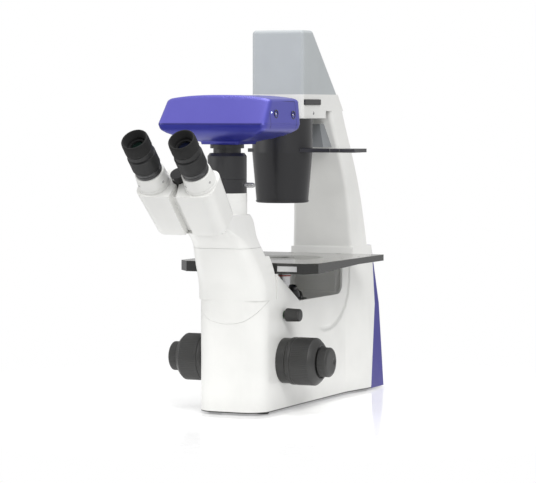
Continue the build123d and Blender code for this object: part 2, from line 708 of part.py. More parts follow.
add("condenser_housing", condenser_housing())
add("phase_slider", phase_slider(), *[phase_stop(x) for x in PHASE_STOPS])
add("condenser_lenses", lens(COND_LENS_RADIUS - GAP, COND_BOTTOM + 7, 4, 4),
    lens(TOP_LENS_RADIUS, TOP_LENS_Z, 4, 4))

# The rail is a dark plate with a dovetail groove on the column's front
RAIL_FRONT = 70.0
GROOVE_HALF = 9.0
GROOVE_DEPTH = 7.0
RAIL_HALF_LOW = 30.0
RAIL_HALF_HIGH = 25.0


def column_front(z):
    """Y of the column's front face at height z."""
    for (z0, _, y0, _), (z1, _, y1, _) in zip(COLUMN, COLUMN[1:]):
        if z <= z1:
            return y0 + (y1 - y0) * (z - z0) / (z1 - z0)
    return COLUMN[-1][2]


def condenser_rail():
    outline = make_face(Polyline(
        (-RAIL_HALF_LOW, RAIL_LOW), (RAIL_HALF_LOW, RAIL_LOW),
        (RAIL_HALF_HIGH, RAIL_HIGH), (-RAIL_HALF_HIGH, RAIL_HIGH), close=True))
    plate = extrude(Plane(origin=(0, RAIL_FRONT, 0), x_dir=X_AXIS, z_dir=(0, -1, 0)) * outline, -60)
    plate -= column_block(0)
    plate &= block(-STAGE_HALF, STAGE_HALF, RAIL_FRONT, column_front(RAIL_LOW) + 6, RAIL_LOW, RAIL_HIGH)
    plate = plate.solids().sort_by(Axis.Y)[0]
    return plate - block(-GROOVE_HALF, GROOVE_HALF, RAIL_FRONT, RAIL_FRONT + GROOVE_DEPTH,
                         RAIL_LOW - COND_TRAVEL, RAIL_HIGH + 1)


def condenser_carrier():
    arm = block(-14, 14, COND_RADIUS - 4, RAIL_FRONT - GAP, RAIL_LOW + 4, RAIL_HIGH - 4)
    arm -= rod(COND_RADIUS, (0, 0, RAIL_LOW), Z_AXIS, RAIL_HIGH - RAIL_LOW)
    tongue = block(-GROOVE_HALF + GAP, GROOVE_HALF - GAP, RAIL_FRONT - 1, RAIL_FRONT + GROOVE_DEPTH - GAP,
                   RAIL_LOW + 4, RAIL_HIGH - 4)
    return arm + tongue


add("condenser_rail", condenser_rail())
add("condenser_carrier", condenser_carrier())


# Stage, insert, label plate and stage screws
def stage_plate():
    points = [
        (STAGE_FRONT, STAGE_TOP),
        (STAGE_REAR, STAGE_TOP),
        (STAGE_REAR, stage_underside(STAGE_REAR)),
        (STAGE_TAPER_END, stage_underside(STAGE_TAPER_END)),
        (STAGE_FRONT, stage_underside(STAGE_FRONT)),
    ]
    plate = side_plate(points, -STAGE_HALF, STAGE_HALF)
    plate = chamfer(plate.edges().filter_by(Axis.Z).sort_by(Axis.Y)[:2], STAGE_CORNER)
    plate -= rod(OPENING_RADIUS - OPENING_LIP, (0, 0, 0), Z_AXIS, STAGE_TOP)
    plate -= rod(OPENING_RADIUS, (0, 0, STAGE_TOP - INSERT_THICK), Z_AXIS, INSERT_THICK)
    for x, y in STAGE_SCREWS:
        plate -= rod(2 + SCREW_GAP, (x, y, 0), Z_AXIS, STAGE_TOP)
        plate -= rod(4, (x, y, STAGE_TOP - 4.2), Z_AXIS, 5)
    for side in (-1, 1):
        for y in SPRING_HOLES:
            plate -= rod(1.7, (side * (STAGE_HALF - 12), y, STAGE_TOP - 6), Z_AXIS, 7)
    return plate


SPRING_HOLES = (-60.0, 0.0, 60.0)
PLATE_X = 62.0

add("stage_plate", stage_plate())
add("stage_insert", ring(OPENING_RADIUS - RUN, INSERT_HOLE, (0, 0, STAGE_TOP - INSERT_THICK),
                         Z_AXIS, INSERT_THICK))
add("stage_front_plate", block(PLATE_X - PLATE_WIDTH / 2, PLATE_X + PLATE_WIDTH / 2,
                               STAGE_FRONT - PLATE_THICK, STAGE_FRONT,
                               STAGE_TOP - 4 - PLATE_HEIGHT, STAGE_TOP - 4))


# Stage posts inside the body carry the stage, with screws from above

def stage_post(x, y):
    height = stage_underside(y) - BASE_TOP
    post = rod(POST_RADIUS, (x, y, BASE_TOP), Z_AXIS, height)
    return post - rod(2 + RUN, (x, y, BASE_TOP + height - 20), Z_AXIS, 21)


BASE_SCREWS = [
    hexagon_screw(2, (x, y, FOOT_HEIGHT + 4), Z_AXIS, BASE_THICK + 4) for x, y in BASE_SCREW_PLACES
]
TOP_SCREWS = [hexagon_screw(2, (x, y, STAGE_TOP - 4.2), (0, 0, -1), 14) for x, y in STAGE_SCREWS]
add("body_screws", *BASE_SCREWS, *TOP_SCREWS)


# Focus drive
def knurled(radius, inner, start, axis, length, teeth, depth):
    """A ring with rounded flutes along its length."""
    grip = ring(radius, inner, start, axis, length)
    plane = Plane(origin=start, z_dir=axis)
    flute = Cylinder(depth, length + 2, align=(Align.CENTER, Align.CENTER, Align.MIN))
    at = Pos(radius + depth * 0.35, 0, -1)
    return grip - [plane * (Rot(0, 0, 360 * i / teeth) * at * flute) for i in range(teeth)]


KNOB_FLUTES = 24
SHAFT_REACH = FLANGE_OUT + 8


def coarse_knob(side):
    out = (side, 0, 0)
    start = FLANGE_OUT + GAP
    length = COARSE_OUT - start
    centre = (side * start, FOCUS_Y, FOCUS_Z)
    knob = knurled(COARSE_RADIUS, COARSE_RADIUS - 5, centre, out, length - 4, KNOB_FLUTES, 1.6)
    knob += rod(COARSE_RADIUS - 4.9, centre, out, length)
    knob += cone(COARSE_RADIUS - 0.5, FINE_RADIUS + 6, (side * (COARSE_OUT - 4), FOCUS_Y, FOCUS_Z), out, 4)
    knob -= rod(COARSE_SHAFT, centre, out, 14)
    return knob - rod(FINE_SHAFT + RUN, centre, out, length + 1)


def fine_knob(side):
    out = (side, 0, 0)
    start = COARSE_OUT + GAP
    length = FINE_OUT - start
    centre = (side * start, FOCUS_Y, FOCUS_Z)
    knob = knurled(FINE_RADIUS, FINE_RADIUS - 3, centre, out, length - 1.5, 30, 0.7)
    knob += rod(FINE_RADIUS - 2.9, centre, out, length)
    knob -= rod(FINE_SHAFT, centre, out, 8)
    return knob - rod(5, (side * (FINE_OUT - 2), FOCUS_Y + 9, FOCUS_Z), out, 3)


def spur(x0, x1):
    """The pinion: straight-sided teeth on the coarse shaft's axis."""
    root = PINION_PITCH - TOOTH_HEIGHT / 2
    tip = PINION_PITCH + TOOTH_HEIGHT / 2 - 0.1
    gear = rod(root, (x0, FOCUS_Y, FOCUS_Z), X_AXIS, x1 - x0)
    tooth = make_face(Polyline((root - 1, -0.95), (PINION_PITCH, -0.6), (tip, -0.32),
                               (tip, 0.32), (PINION_PITCH, 0.6), (root - 1, 0.95), close=True))
    bar = extrude(Plane(origin=(x0, FOCUS_Y, FOCUS_Z), x_dir=Y_AXIS, z_dir=X_AXIS) * tooth, x1 - x0)
    centre = Axis((0, FOCUS_Y, FOCUS_Z), X_AXIS)
    gear += [bar.rotate(centre, 360 * i / PINION_TEETH) for i in range(PINION_TEETH)]
    return gear


def rack():
    """Teeth with a gap facing the pinion's tooth at rest."""
    pitch = 2 * pi * PINION_PITCH / PINION_TEETH
    face_y = FOCUS_Y + PINION_PITCH
    points = []
    count = 5
    for i in range(-count, count):
        z = FOCUS_Z + pitch * (i + 0.5)
        for dy, dz in ((0.95, -0.95), (-0.7, -0.35), (-0.7, 0.35), (0.95, 0.95)):
            points.append((face_y + dy, z + dz))
    points += [(RACK_BACK, points[-1][1] + 2), (RACK_BACK, points[0][1] - 2)]
    return side_plate(points, RACK_X - RACK_WIDTH / 2, RACK_X + RACK_WIDTH / 2)


RACK_BACK = FOCUS_Y + PINION_PITCH + 6
coarse_tube = ring(COARSE_SHAFT, FINE_SHAFT + RUN, (-SHAFT_REACH, FOCUS_Y, FOCUS_Z), X_AXIS, 2 * SHAFT_REACH)
add("coarse_knobs", coarse_knob(-1), coarse_knob(1))
pinion = spur(RACK_X - RACK_WIDTH / 2 - 1, RACK_X + RACK_WIDTH / 2 + 1)
add("coarse_shaft", coarse_tube, pinion - rod(COARSE_SHAFT, (0, FOCUS_Y, FOCUS_Z), X_AXIS, STAGE_HALF))
fine_rod = rod(FINE_SHAFT, (-COARSE_OUT - GAP - 8, FOCUS_Y, FOCUS_Z), X_AXIS, 2 * (COARSE_OUT + GAP + 8))
add("fine_knobs", fine_knob(-1), fine_knob(1), fine_rod)
add("focus_rack", rack())


def focus_bush(side):
    """The bearing in the body's wall, with the flange behind the coarse knob."""
    out = (side, 0, 0)
    inner = COARSE_SHAFT + RUN
    bush = ring(BUSH_RADIUS - RUN, inner, (side * (BODY_HALF - 16), FOCUS_Y, FOCUS_Z), out, 16)
    flange_at = (side * BODY_HALF, FOCUS_Y, FOCUS_Z)
    return bush + ring(FLANGE_RADIUS, inner, flange_at, out, FLANGE_OUT - BODY_HALF)


add("focus_bushes", focus_bush(-1), focus_bush(1))

# Brightness knob on the right, over the focus drive, on a potentiometer
DIM_IN = 16.0


def brightness_knob():
    start = (BODY_HALF + DIM_OUT, FOCUS_Y, DIM_Z)
    knob = cone(DIM_RADIUS + 0.8, DIM_RADIUS, start, X_AXIS, DIM_LENGTH)
    knob = fillet(knob.edges().filter_by(GeomType.CIRCLE).sort_by(Axis.X)[-1], 1.2)
    return knob - rod(DIM_SHAFT, start, X_AXIS, 14)


dim_shaft = rod(DIM_SHAFT, (BODY_HALF - DIM_IN, FOCUS_Y, DIM_Z), X_AXIS, DIM_IN + DIM_OUT + 14)
add("brightness_knob", brightness_knob(), dim_shaft)
dim_control = (ring(DIM_BUSH - RUN, DIM_SHAFT + RUN, (BODY_HALF - DIM_IN + 4, FOCUS_Y, DIM_Z),
                               X_AXIS, DIM_IN - 4)
    + ring(8, DIM_SHAFT + RUN, (BODY_HALF - DIM_IN + 3, FOCUS_Y, DIM_Z), X_AXIS, DIM_IN - WALL - 3))


# Nosepiece: carriage, spindle, turret and objectives
TURRET_GAP = 0.3
CARRIAGE_LOW = 110.0
CARRIAGE_HIGH = 120.0
CARRIAGE_HALF = 30.0
LIMB_IN = 14.0
LIMB_FRONT = RACK_BACK
LIMB_DEPTH = 12.0
LIMB_LOW = 40.0
GUIDE_THICK = 9.0
PATH_RADIUS = 11.0
PATH_Z = 83.0              # height of the light path towards the user


def carriage():
    rear = LIMB_FRONT + LIMB_DEPTH
    plate = block(-CARRIAGE_HALF, CARRIAGE_HALF, LIMB_FRONT, 16, CARRIAGE_LOW, CARRIAGE_HIGH)
    for side in (-1, 1):
        x0, x1 = sorted((side * LIMB_IN, side * CARRIAGE_HALF))
        plate += block(x0, x1, LIMB_FRONT, rear, LIMB_LOW, CARRIAGE_HIGH)
    boss_top = TURRET_CENTRE - TURRET_AXIS * (TURRET_THICK + TURRET_GAP)
    plate += rod(SPINDLE + 4, boss_top, TURRET_AXIS * -1, 22)
    plate -= rod(SPINDLE, boss_top, TURRET_AXIS * -1, 30)
    return plate - rod(PATH_RADIUS + 1, (0, 0, CARRIAGE_LOW - 1), Z_AXIS, 40)


def seat_frame(index):
    """Centre and direction of the objective seat number index; number 0 is in use."""
    angle = 2 * pi * index / OBJECTIVES
    outward = Vector(-sin(angle), cos(angle), 0)
    plane = Plane(origin=TURRET_CENTRE, x_dir=X_AXIS, z_dir=TURRET_AXIS)
    lean = outward * sin(TURRET_LEAN) + Vector(0, 0, cos(TURRET_LEAN))
    return plane.from_local_coords(outward * SEAT_CIRCLE), plane.from_local_coords(lean) - TURRET_CENTRE


def turret():
    disc = rod(TURRET_RADIUS, TURRET_CENTRE - TURRET_AXIS * TURRET_THICK, TURRET_AXIS, TURRET_THICK)
    disc = fillet(disc.edges().filter_by(GeomType.CIRCLE), 1.5)
    below = TURRET_CENTRE - TURRET_AXIS * (TURRET_THICK + 1)
    disc -= rod(SPINDLE + RUN, below, TURRET_AXIS, TURRET_THICK - 2)
    for i in range(OBJECTIVES):
        seat, lean = seat_frame(i)
        disc -= rod(OBJ_THREAD, seat - lean * (TURRET_THICK + 10), lean, TURRET_THICK + 10.5)
        disc -= rod(OBJ_RADIUS + 0.6, seat, lean, 12)
    for i in range(KNOB_FLUTES):
        plane = Plane(origin=TURRET_CENTRE - TURRET_AXIS * TURRET_THICK, x_dir=X_AXIS, z_dir=TURRET_AXIS)
        flute = Cylinder(1.2, TURRET_THICK + 2, align=(Align.CENTER, Align.CENTER, Align.MIN))
        disc -= plane * (Rot(0, 0, 360 * i / KNOB_FLUTES) * Pos(TURRET_RADIUS + 0.4, 0, -1) * flute)
    return disc


OBJ_REACH = (35.0, 30.0, 34.0, 16.0)   # the last one is a short low-power objective


def objective(index):
    seat, lean = seat_frame(index)
    reach = OBJ_REACH[index]
    body = rod(OBJ_THREAD - RUN, seat - lean * 5, lean, 5)
    body += rod(OBJ_RADIUS, seat, lean, reach - 12)
    body += cone(OBJ_RADIUS, 6.5, seat + lean * (reach - 12), lean, 8)
    body += rod(5.5, seat + lean * (reach - 4), lean, 4)
    return body - rod(3.5, seat - lean * 6, lean, reach + 8)


def objective_lens(index):
    seat, lean = seat_frame(index)
    return rod(3.5, seat + lean * (OBJ_REACH[index] - 4), lean, 3.4)


spindle_start = TURRET_CENTRE - TURRET_AXIS * (TURRET_THICK + TURRET_GAP + 22)
add("nosepiece_carriage", carriage() + rod(SPINDLE, spindle_start, TURRET_AXIS, TURRET_THICK + 22 - 3))
add("turret", turret())
add("objectives", *[objective(i) for i in range(OBJECTIVES)], *[objective_lens(i) for i in range(OBJECTIVES)])


def guide(side):
    """An upright on the base beside the carriage's limb."""
    x0 = side * (CARRIAGE_HALF + GAP)
    x1 = x0 + side * GUIDE_THICK
    low, high = sorted((x0, x1))
    post = block(low, high, LIMB_FRONT - 4, LIMB_FRONT + LIMB_DEPTH + 4, BASE_TOP, CARRIAGE_HIGH + 6)
    ears = block(low, high, LIMB_FRONT - 10, LIMB_FRONT + LIMB_DEPTH + 10, BASE_TOP, BASE_TOP + 8)
    return post + ears


add("inner_posts", guide(-1), guide(1), *[stage_post(x, y) for x, y in STAGE_SCREWS])

# Inner frame: the casting on the base that holds the mirrors, the tube lens and the stage posts
MIRROR_SIZE = 26.0
MIRROR_THICK = 3.0
FRONT_MIRROR_Y = -148.0
TUBE_LENS_RADIUS = 15.0
TUBE_LENS_Y = -60.0


def mirror_frame(y, arriving, leaving):
    """The back of the mirror that turns the arriving beam into the leaving one at y."""
    normal = (leaving - arriving).normalized()
    return Plane(origin=Vector(0, y, PATH_Z) - normal * MIRROR_THICK, x_dir=X_AXIS, z_dir=normal)


def mirror(frame):
    """A mirror plate on its back plane."""
    plate = Box(MIRROR_SIZE, MIRROR_SIZE * 1.2, MIRROR_THICK, align=(Align.CENTER, Align.CENTER, Align.MIN))
    return frame * plate


def mirror_block(y, frame):
    """The wedge on the casting that carries a mirror's back."""
    half = MIRROR_SIZE / 2
    under = frame * Box(100, 100, 100, align=(Align.CENTER, Align.CENTER, Align.MAX))
    return block(-half, half, y - half, y + half, BASE_TOP, PATH_Z + half) & under


DOWN = Vector(0, 0, -1)
TO_USER = Vector(0, -1, 0)
TO_HEAD = Vector(0, PHOTO_Y - FRONT_MIRROR_Y, SPLITTER_Z - PATH_Z).normalized()
REAR_MIRROR = mirror_frame(0, DOWN, TO_USER)
FRONT_MIRROR = mirror_frame(FRONT_MIRROR_Y, TO_USER, TO_HEAD)


def inner_frame():
    frame = mirror_block(0, REAR_MIRROR) + mirror_block(FRONT_MIRROR_Y, FRONT_MIRROR)
    frame += block(-12, 12, FRONT_MIRROR_Y, 10, BASE_TOP, BASE_TOP + 10)
    stand_top = PATH_Z + TUBE_LENS_RADIUS
    frame += block(-12, 12, TUBE_LENS_Y - 4, TUBE_LENS_Y + 4, BASE_TOP, stand_top)
    frame += rod(TUBE_LENS_RADIUS + 3, (0, TUBE_LENS_Y - 4, PATH_Z), Y_AXIS, 8)
    frame -= rod(TUBE_LENS_RADIUS + RUN, (0, TUBE_LENS_Y - 5, PATH_Z), Y_AXIS, 10)
    frame -= rod(COARSE_SHAFT + 2, (-BODY_HALF, FOCUS_Y, FOCUS_Z), X_AXIS, 2 * BODY_HALF)
    return frame & block(-20, 20, BODY_FRONT, 30, BASE_TOP, SEAM_BOTTOM - 8)


add("inner_frame", inner_frame())

# Beam splitter, tube lens and mirrors
prism = block(-SPLITTER / 2, SPLITTER / 2, PHOTO_Y - SPLITTER / 2, PHOTO_Y + SPLITTER / 2,
              SPLITTER_Z - SPLITTER / 2, SPLITTER_Z + SPLITTER / 2)
tube_lens = rod(TUBE_LENS_RADIUS, (0, TUBE_LENS_Y - 2, PATH_Z), Y_AXIS, 4)
add("path_optics", prism, tube_lens, mirror(REAR_MIRROR), mirror(FRONT_MIRROR))
photo_height = PHOTO_TOP - PHOTO_BASE
add("phototube", ring(PHOTO_RADIUS, PHOTO_RADIUS - 5, (0, PHOTO_Y, PHOTO_BASE), Z_AXIS, photo_height))

# Camera adapter, clamp screw and camera
SPIGOT = 12.0
CLAMP_Z = PHOTO_TOP + 10.5
CLAMP_RADIUS = 3.4
CLAMP_OUT = 13.0
SOCKET_TOP = PHOTO_TOP + 18.0


def adapter_socket():
    """The fixed clamp ring on the phototube, with the threaded boss for the clamp screw."""
    body = ring(ADAPTER_RADIUS, PHOTO_RADIUS - 5, (0, PHOTO_Y, PHOTO_TOP), Z_AXIS, 3)
    body += ring(ADAPTER_RADIUS, 20, (0, PHOTO_Y, PHOTO_TOP), Z_AXIS, SOCKET_TOP - PHOTO_TOP)
    return body - rod(2 + RUN, (0, PHOTO_Y, CLAMP_Z), X_AXIS, ADAPTER_RADIUS + 1)


def camera_adapter():
    low = SOCKET_TOP + GAP
    body = rod(ADAPTER_RADIUS, (0, PHOTO_Y, low), Z_AXIS, ADAPTER_TOP - low)
    body += rod(20 - RUN, (0, PHOTO_Y, PHOTO_TOP + 4), Z_AXIS, low - PHOTO_TOP - 4)
    body += cone(ADAPTER_RADIUS, ADAPTER_RADIUS - 3, (0, PHOTO_Y, ADAPTER_TOP), Z_AXIS, 4)
    body += rod(NECK_RADIUS, (0, PHOTO_Y, ADAPTER_TOP), Z_AXIS, NECK_TOP - ADAPTER_TOP)
    body += rod(CAMERA_RING_RADIUS, (0, PHOTO_Y, NECK_TOP), Z_AXIS, CAMERA_RING - NECK_TOP)
    return body - rod(15, (0, PHOTO_Y, PHOTO_TOP), Z_AXIS, CAMERA_TOP - PHOTO_TOP)


def clamp_screw():
    start = (20 + GAP, PHOTO_Y, CLAMP_Z)
    screw = rod(2, start, X_AXIS, ADAPTER_RADIUS + GAP - 20)
    head_at = (ADAPTER_RADIUS + GAP, PHOTO_Y, CLAMP_Z)
    return screw + knurled(CLAMP_RADIUS, 1.5, head_at, X_AXIS, CLAMP_OUT - 2, 16, 0.4) + rod(
        CLAMP_RADIUS - 0.6, head_at, X_AXIS, CLAMP_OUT)


add("adapter_socket", adapter_socket())
add("camera_adapter", camera_adapter())
add("clamp_screw", clamp_screw())


def camera_levels(inset):
    """Outlines of the camera from its neck to its top: height, half width, front, rear, corner."""
    rows = (
        (CAMERA_RING, 24.0, PHOTO_Y - 26.0, PHOTO_Y + 26.0, 12.0),
        (CAMERA_LOW, CAMERA_HALF - 14, CAMERA_FRONT + 26, CAMERA_REAR - 10, 12.0),
        (CAMERA_LOW + 9, CAMERA_HALF, CAMERA_FRONT + 6, CAMERA_REAR, CAMERA_ROUND),
        (CAMERA_BELT, CAMERA_HALF, CAMERA_FRONT, CAMERA_REAR, CAMERA_ROUND),
        (CAMERA_TOP - 5, CAMERA_HALF, CAMERA_FRONT + 10, CAMERA_REAR, CAMERA_ROUND),
        (CAMERA_TOP, CAMERA_HALF - 4, CAMERA_FRONT + 16, CAMERA_REAR - 4, CAMERA_ROUND),
    )
    last = len(rows) - 1
    return [
        rounded_level(z + inset * (i == 0) - inset * (i == last), half - inset, front + inset, rear - inset,
                      corner - inset)
        for i, (z, half, front, rear, corner) in enumerate(rows)
    ]


PORTS = ((-190.0, CAMERA_BELT + 12.5), (-140.0, CAMERA_BELT + 11.0))   # holes on the camera's right end
PORT_RADIUS = 4.0


def camera_shell():
    shell = loft(camera_levels(0), ruled=True) - loft(camera_levels(CAMERA_WALL), ruled=True)
    shell -= rod(15, (0, PHOTO_Y, CAMERA_RING - 1), Z_AXIS, 10)
    for y, z in PORTS:
        shell -= rod(PORT_RADIUS + 1, (CAMERA_HALF - 6, y, z), X_AXIS, 8)
    return shell


def camera_port(y, z):
    start = CAMERA_HALF - CAMERA_WALL - 12
    body = ring(PORT_RADIUS + 1 - RUN, PORT_RADIUS - 1, (start, y, z), X_AXIS, CAMERA_HALF - start)
    return body + rod(PORT_RADIUS, (start, y, z), X_AXIS, 2)


SENSOR_Z = CAMERA_RING + 19.0
CAMERA_FLOOR = CAMERA_RING + CAMERA_WALL
add("camera_shell", camera_shell())
add("camera_ports", *[camera_port(y, z) for y, z in PORTS])
add("adapter_lenses", rod(15 - RUN, (0, PHOTO_Y, ADAPTER_TOP - 8), Z_AXIS, 5),
    rod(15 - RUN, (0, PHOTO_Y, CAMERA_RING - 1), Z_AXIS, 3))
add("sensor_board",
    block(-30, 30, PHOTO_Y - 22, PHOTO_Y + 22, SENSOR_Z, SENSOR_Z + 2)
    + block(-9, 9, PHOTO_Y - 9, PHOTO_Y + 9, SENSOR_Z - 3, SENSOR_Z)
    + [rod(3, (x, y, CAMERA_FLOOR), Z_AXIS, SENSOR_Z - CAMERA_FLOOR) for x in (-17, 17)
       for y in (PHOTO_Y - 16, PHOTO_Y + 16)])


# Viewing head: hinge, prism housings, tubes and eyepieces
def along(side, s, t=0.0):
    """A point on one eyepiece's axis, s from the eyecup's rim and t square to the tubes."""
    return EYE[side] + DOWN_TUBE * s + OFF_TUBE * t


LOBES = {"left": (0.0, LOBE_LENGTH), "right": (LOBE_LENGTH + GAP, 2 * LOBE_LENGTH + GAP)}
LOBE_START = HEAD_BACK - 2 * LOBE_LENGTH - GAP
HINGE_PIN = 6.0


def housing_level(side, s, width):
    """The outline of a prism housing square to the tubes, s from the eyecup's rim."""
    sign = -1 if side == "left" else 1
    centre = HINGE + DOWN_TUBE * s - OFF_TUBE * HINGE_RISE + Vector(sign * width / 2, 0, 0)
    plane = Plane(origin=centre, x_dir=X_AXIS, z_dir=DOWN_TUBE)
    return plane * RectangleRounded(width, 2 * HOUSING_DEPTH, HOUSING_ROUND)


def prism_housing(side):
    """A rounded housing round one tube's prisms, with a round lobe on the shared hinge."""
    sign = -1 if side == "left" else 1
    body = loft([housing_level(side, HOUSING_AT, HOUSING_WIDTH),
                 housing_level(side, HEAD_BACK, HOUSING_WIDTH - HOUSING_TAPER)])
    inner = block(min(0, sign * HOUSING_ROUND), max(0, sign * HOUSING_ROUND), -HOUSING_DEPTH, HOUSING_DEPTH,
                  HOUSING_AT, HEAD_BACK)
    tubes = Plane(origin=HINGE - OFF_TUBE * HINGE_RISE, x_dir=X_AXIS, z_dir=DOWN_TUBE)
    body += tubes * inner
    lobe_from, lobe_to = LOBES[side]
    wedge = Plane(origin=HINGE, x_dir=X_AXIS, z_dir=DOWN_TUBE)
    wide = 2 * HOUSING_WIDTH
    slope = sin(radians(SWING + 1)) * wide
    keep = make_face(Polyline((sign * GAP, 0), (sign * slope, wide), (sign * wide, wide),
                              (sign * wide, -wide), (sign * slope, -wide), close=True))
    body &= extrude(wedge * keep, 2 * HEAD_BACK)
    other = LOBES["right" if side == "left" else "left"]
    other_base = HINGE + DOWN_TUBE * (LOBE_START + other[0] - GAP)
    body -= rod(LOBE_RADIUS + GAP, other_base, DOWN_TUBE, other[1] - other[0] + 2 * GAP)
    body += rod(LOBE_RADIUS, HINGE + DOWN_TUBE * (LOBE_START + lobe_from), DOWN_TUBE, lobe_to - lobe_from)
    body -= rod(HINGE_PIN + RUN, HINGE, DOWN_TUBE, 2 * HEAD_BACK)
    body -= rod(CAP_RADIUS + GAP, HINGE + DOWN_TUBE * CAP_AT, DOWN_TUBE, LOBE_START - CAP_AT)
    return body - rod(SPIGOT_RADIUS, along(side, HOUSING_AT - 1), DOWN_TUBE, HOUSING_LENGTH - 8)


def hinge_pin():
    """The pin that both housings swing on, with the round cap at its front."""
    pin = rod(HINGE_PIN, HINGE + DOWN_TUBE * (LOBE_START - 2), DOWN_TUBE, HEAD_BACK - LOBE_START + 8)
    return pin + rod(CAP_RADIUS, HINGE + DOWN_TUBE * CAP_AT, DOWN_TUBE, LOBE_START - GAP - CAP_AT)


def head_flange():
    """The round plate that closes the neck's nose and carries the hinge pin."""
    start = HINGE + DOWN_TUBE * (HEAD_BACK + GAP)
    plate = rod(NOSE_RADIUS, start, DOWN_TUBE, GAP)
    plate += rod(NOSE_RADIUS - 2 * WALL - RUN, start, DOWN_TUBE, GAP + 6)
    plate &= block(-STAGE_HALF, STAGE_HALF, EYE_Y, PHOTO_Y, NOSE_FLOOR + WALL, EYE_Z)
    return plate - rod(HINGE_PIN, start - DOWN_TUBE, DOWN_TUBE, 10)


def viewing_tube(side):
    tube = cone(TUBE_RADIUS, TUBE_FOOT, along(side, TUBE_AT), DOWN_TUBE, TUBE_LENGTH)
    return tube - rod(SPIGOT_RADIUS + RUN, along(side, TUBE_AT - 1), DOWN_TUBE, TUBE_LENGTH + 2)


def eye_barrel(side):
    """The fixed part of an eyepiece: the spigot and the black ring that rests on the viewing tube."""
    spigot_from = CUP_LENGTH + RING_BAND + 4
    bore = SPIGOT_RADIUS - SPIGOT_WALL
    spigot_length = TUBE_AT + TUBE_LENGTH - 3 - spigot_from
    barrel = ring(SPIGOT_RADIUS, bore, along(side, spigot_from), DOWN_TUBE, spigot_length)
    return barrel + ring(BARREL_RADIUS, bore, along(side, BARREL_AT), DOWN_TUBE, BARREL_LENGTH)


def diopter_ring(side):
    """The turning ring: smooth band, ribbed grip and the neck that carries the eyecup and the eye lens."""
    band = rod(RING_RADIUS - 1, along(side, CUP_LENGTH), DOWN_TUBE, RING_BAND)
    grip_length = RING_LENGTH - RING_BAND - GAP
    grip_at = along(side, CUP_LENGTH + RING_BAND)
    band += knurled(RING_RADIUS, SPIGOT_RADIUS, grip_at, DOWN_TUBE, grip_length, 36, 0.5)
    band -= rod(SPIGOT_RADIUS + RUN, along(side, CUP_LENGTH + RING_BAND + 4 - GAP), DOWN_TUBE, RING_LENGTH)
    web = rod(SPIGOT_RADIUS, along(side, CUP_LENGTH + RING_BAND - 1), DOWN_TUBE, 4)
    neck = rod(LENS_RADIUS + 3, along(side, CUP_LENGTH - 6), DOWN_TUBE, 7)
    return band + web + neck - rod(LENS_RADIUS, along(side, 0), DOWN_TUBE, CUP_LENGTH + RING_LENGTH)


def eyecup(side):
    bore = LENS_RADIUS + 3 + RUN
    cup = cone(CUP_RADIUS - 0.8, CUP_RADIUS, along(side, 0), DOWN_TUBE, 5)
    cup += rod(CUP_RADIUS, along(side, 5), DOWN_TUBE, CUP_LENGTH - 5)
    cup -= cone(CUP_RADIUS - 2.5, bore, along(side, -0.1), DOWN_TUBE, 9)
    return cup - rod(bore, along(side, 0), DOWN_TUBE, CUP_LENGTH + 1)


for side in ("left", "right"):
    add(f"prism_housing_{side}", prism_housing(side))
    tube = viewing_tube(side)
    add(f"viewing_tube_{side}", tube)
    add(f"eye_barrel_{side}", eye_barrel(side))
    add(f"diopter_ring_{side}", diopter_ring(side))
    add(f"eyecup_{side}", eyecup(side))
    add(f"eye_lens_{side}", rod(LENS_RADIUS, along(side, CUP_LENGTH - 4), DOWN_TUBE, 5))
add("head_hinge", hinge_pin(), head_flange())

# Rear sockets: power inlet and rocker switch in the rear panel, board behind them


def power_inlet():
    body = block(INLET_X - INLET_WIDTH / 2 + GAP, INLET_X + INLET_WIDTH / 2 - GAP, REAR_LOW - 26, REAR_LOW,
                 INLET_Z - INLET_HEIGHT / 2 + GAP, INLET_Z + INLET_HEIGHT / 2 - GAP)
    body -= block(INLET_X - INLET_WIDTH / 2 + 2, INLET_X + INLET_WIDTH / 2 - 2, REAR_LOW - 16, REAR_LOW + 1,
                  INLET_Z - INLET_HEIGHT / 2 + 2, INLET_Z + INLET_HEIGHT / 2 - 2)
    for x, z in ((-7, -2), (7, -2), (0, 3)):
        body += block(INLET_X + x - 1, INLET_X + x + 1, REAR_LOW - 17, REAR_LOW - 5,
                      INLET_Z + z - 2, INLET_Z + z + 2)
    return body


def switch_frame():
    outer = block(SWITCH_X - SWITCH_WIDTH / 2 + GAP, SWITCH_X + SWITCH_WIDTH / 2 - GAP,
                  REAR_LOW - 22, REAR_LOW, SWITCH_Z - SWITCH_HEIGHT / 2 + GAP, SWITCH_Z + SWITCH_HEIGHT / 2 - GAP)
    return outer - block(SWITCH_X - SWITCH_WIDTH / 2 + 2, SWITCH_X + SWITCH_WIDTH / 2 - 2, REAR_LOW - 14,
                         REAR_LOW + 1, SWITCH_Z - SWITCH_HEIGHT / 2 + 2, SWITCH_Z + SWITCH_HEIGHT / 2 - 2)


SWITCH_PIVOT_Y = REAR_LOW - 5.0


def switch_rocker():
    half = SWITCH_HEIGHT / 2 - 3
    wide = SWITCH_WIDTH / 2 - 2 - GAP
    points = [
        (SWITCH_PIVOT_Y - 4, SWITCH_Z - half + 3),
        (REAR_LOW + 0.5, SWITCH_Z - half),
        (REAR_LOW - 1.0, SWITCH_Z),
        (REAR_LOW + 0.5, SWITCH_Z + half),
        (SWITCH_PIVOT_Y - 4, SWITCH_Z + half - 3),
    ]
    return side_plate(points, SWITCH_X - wide, SWITCH_X + wide)


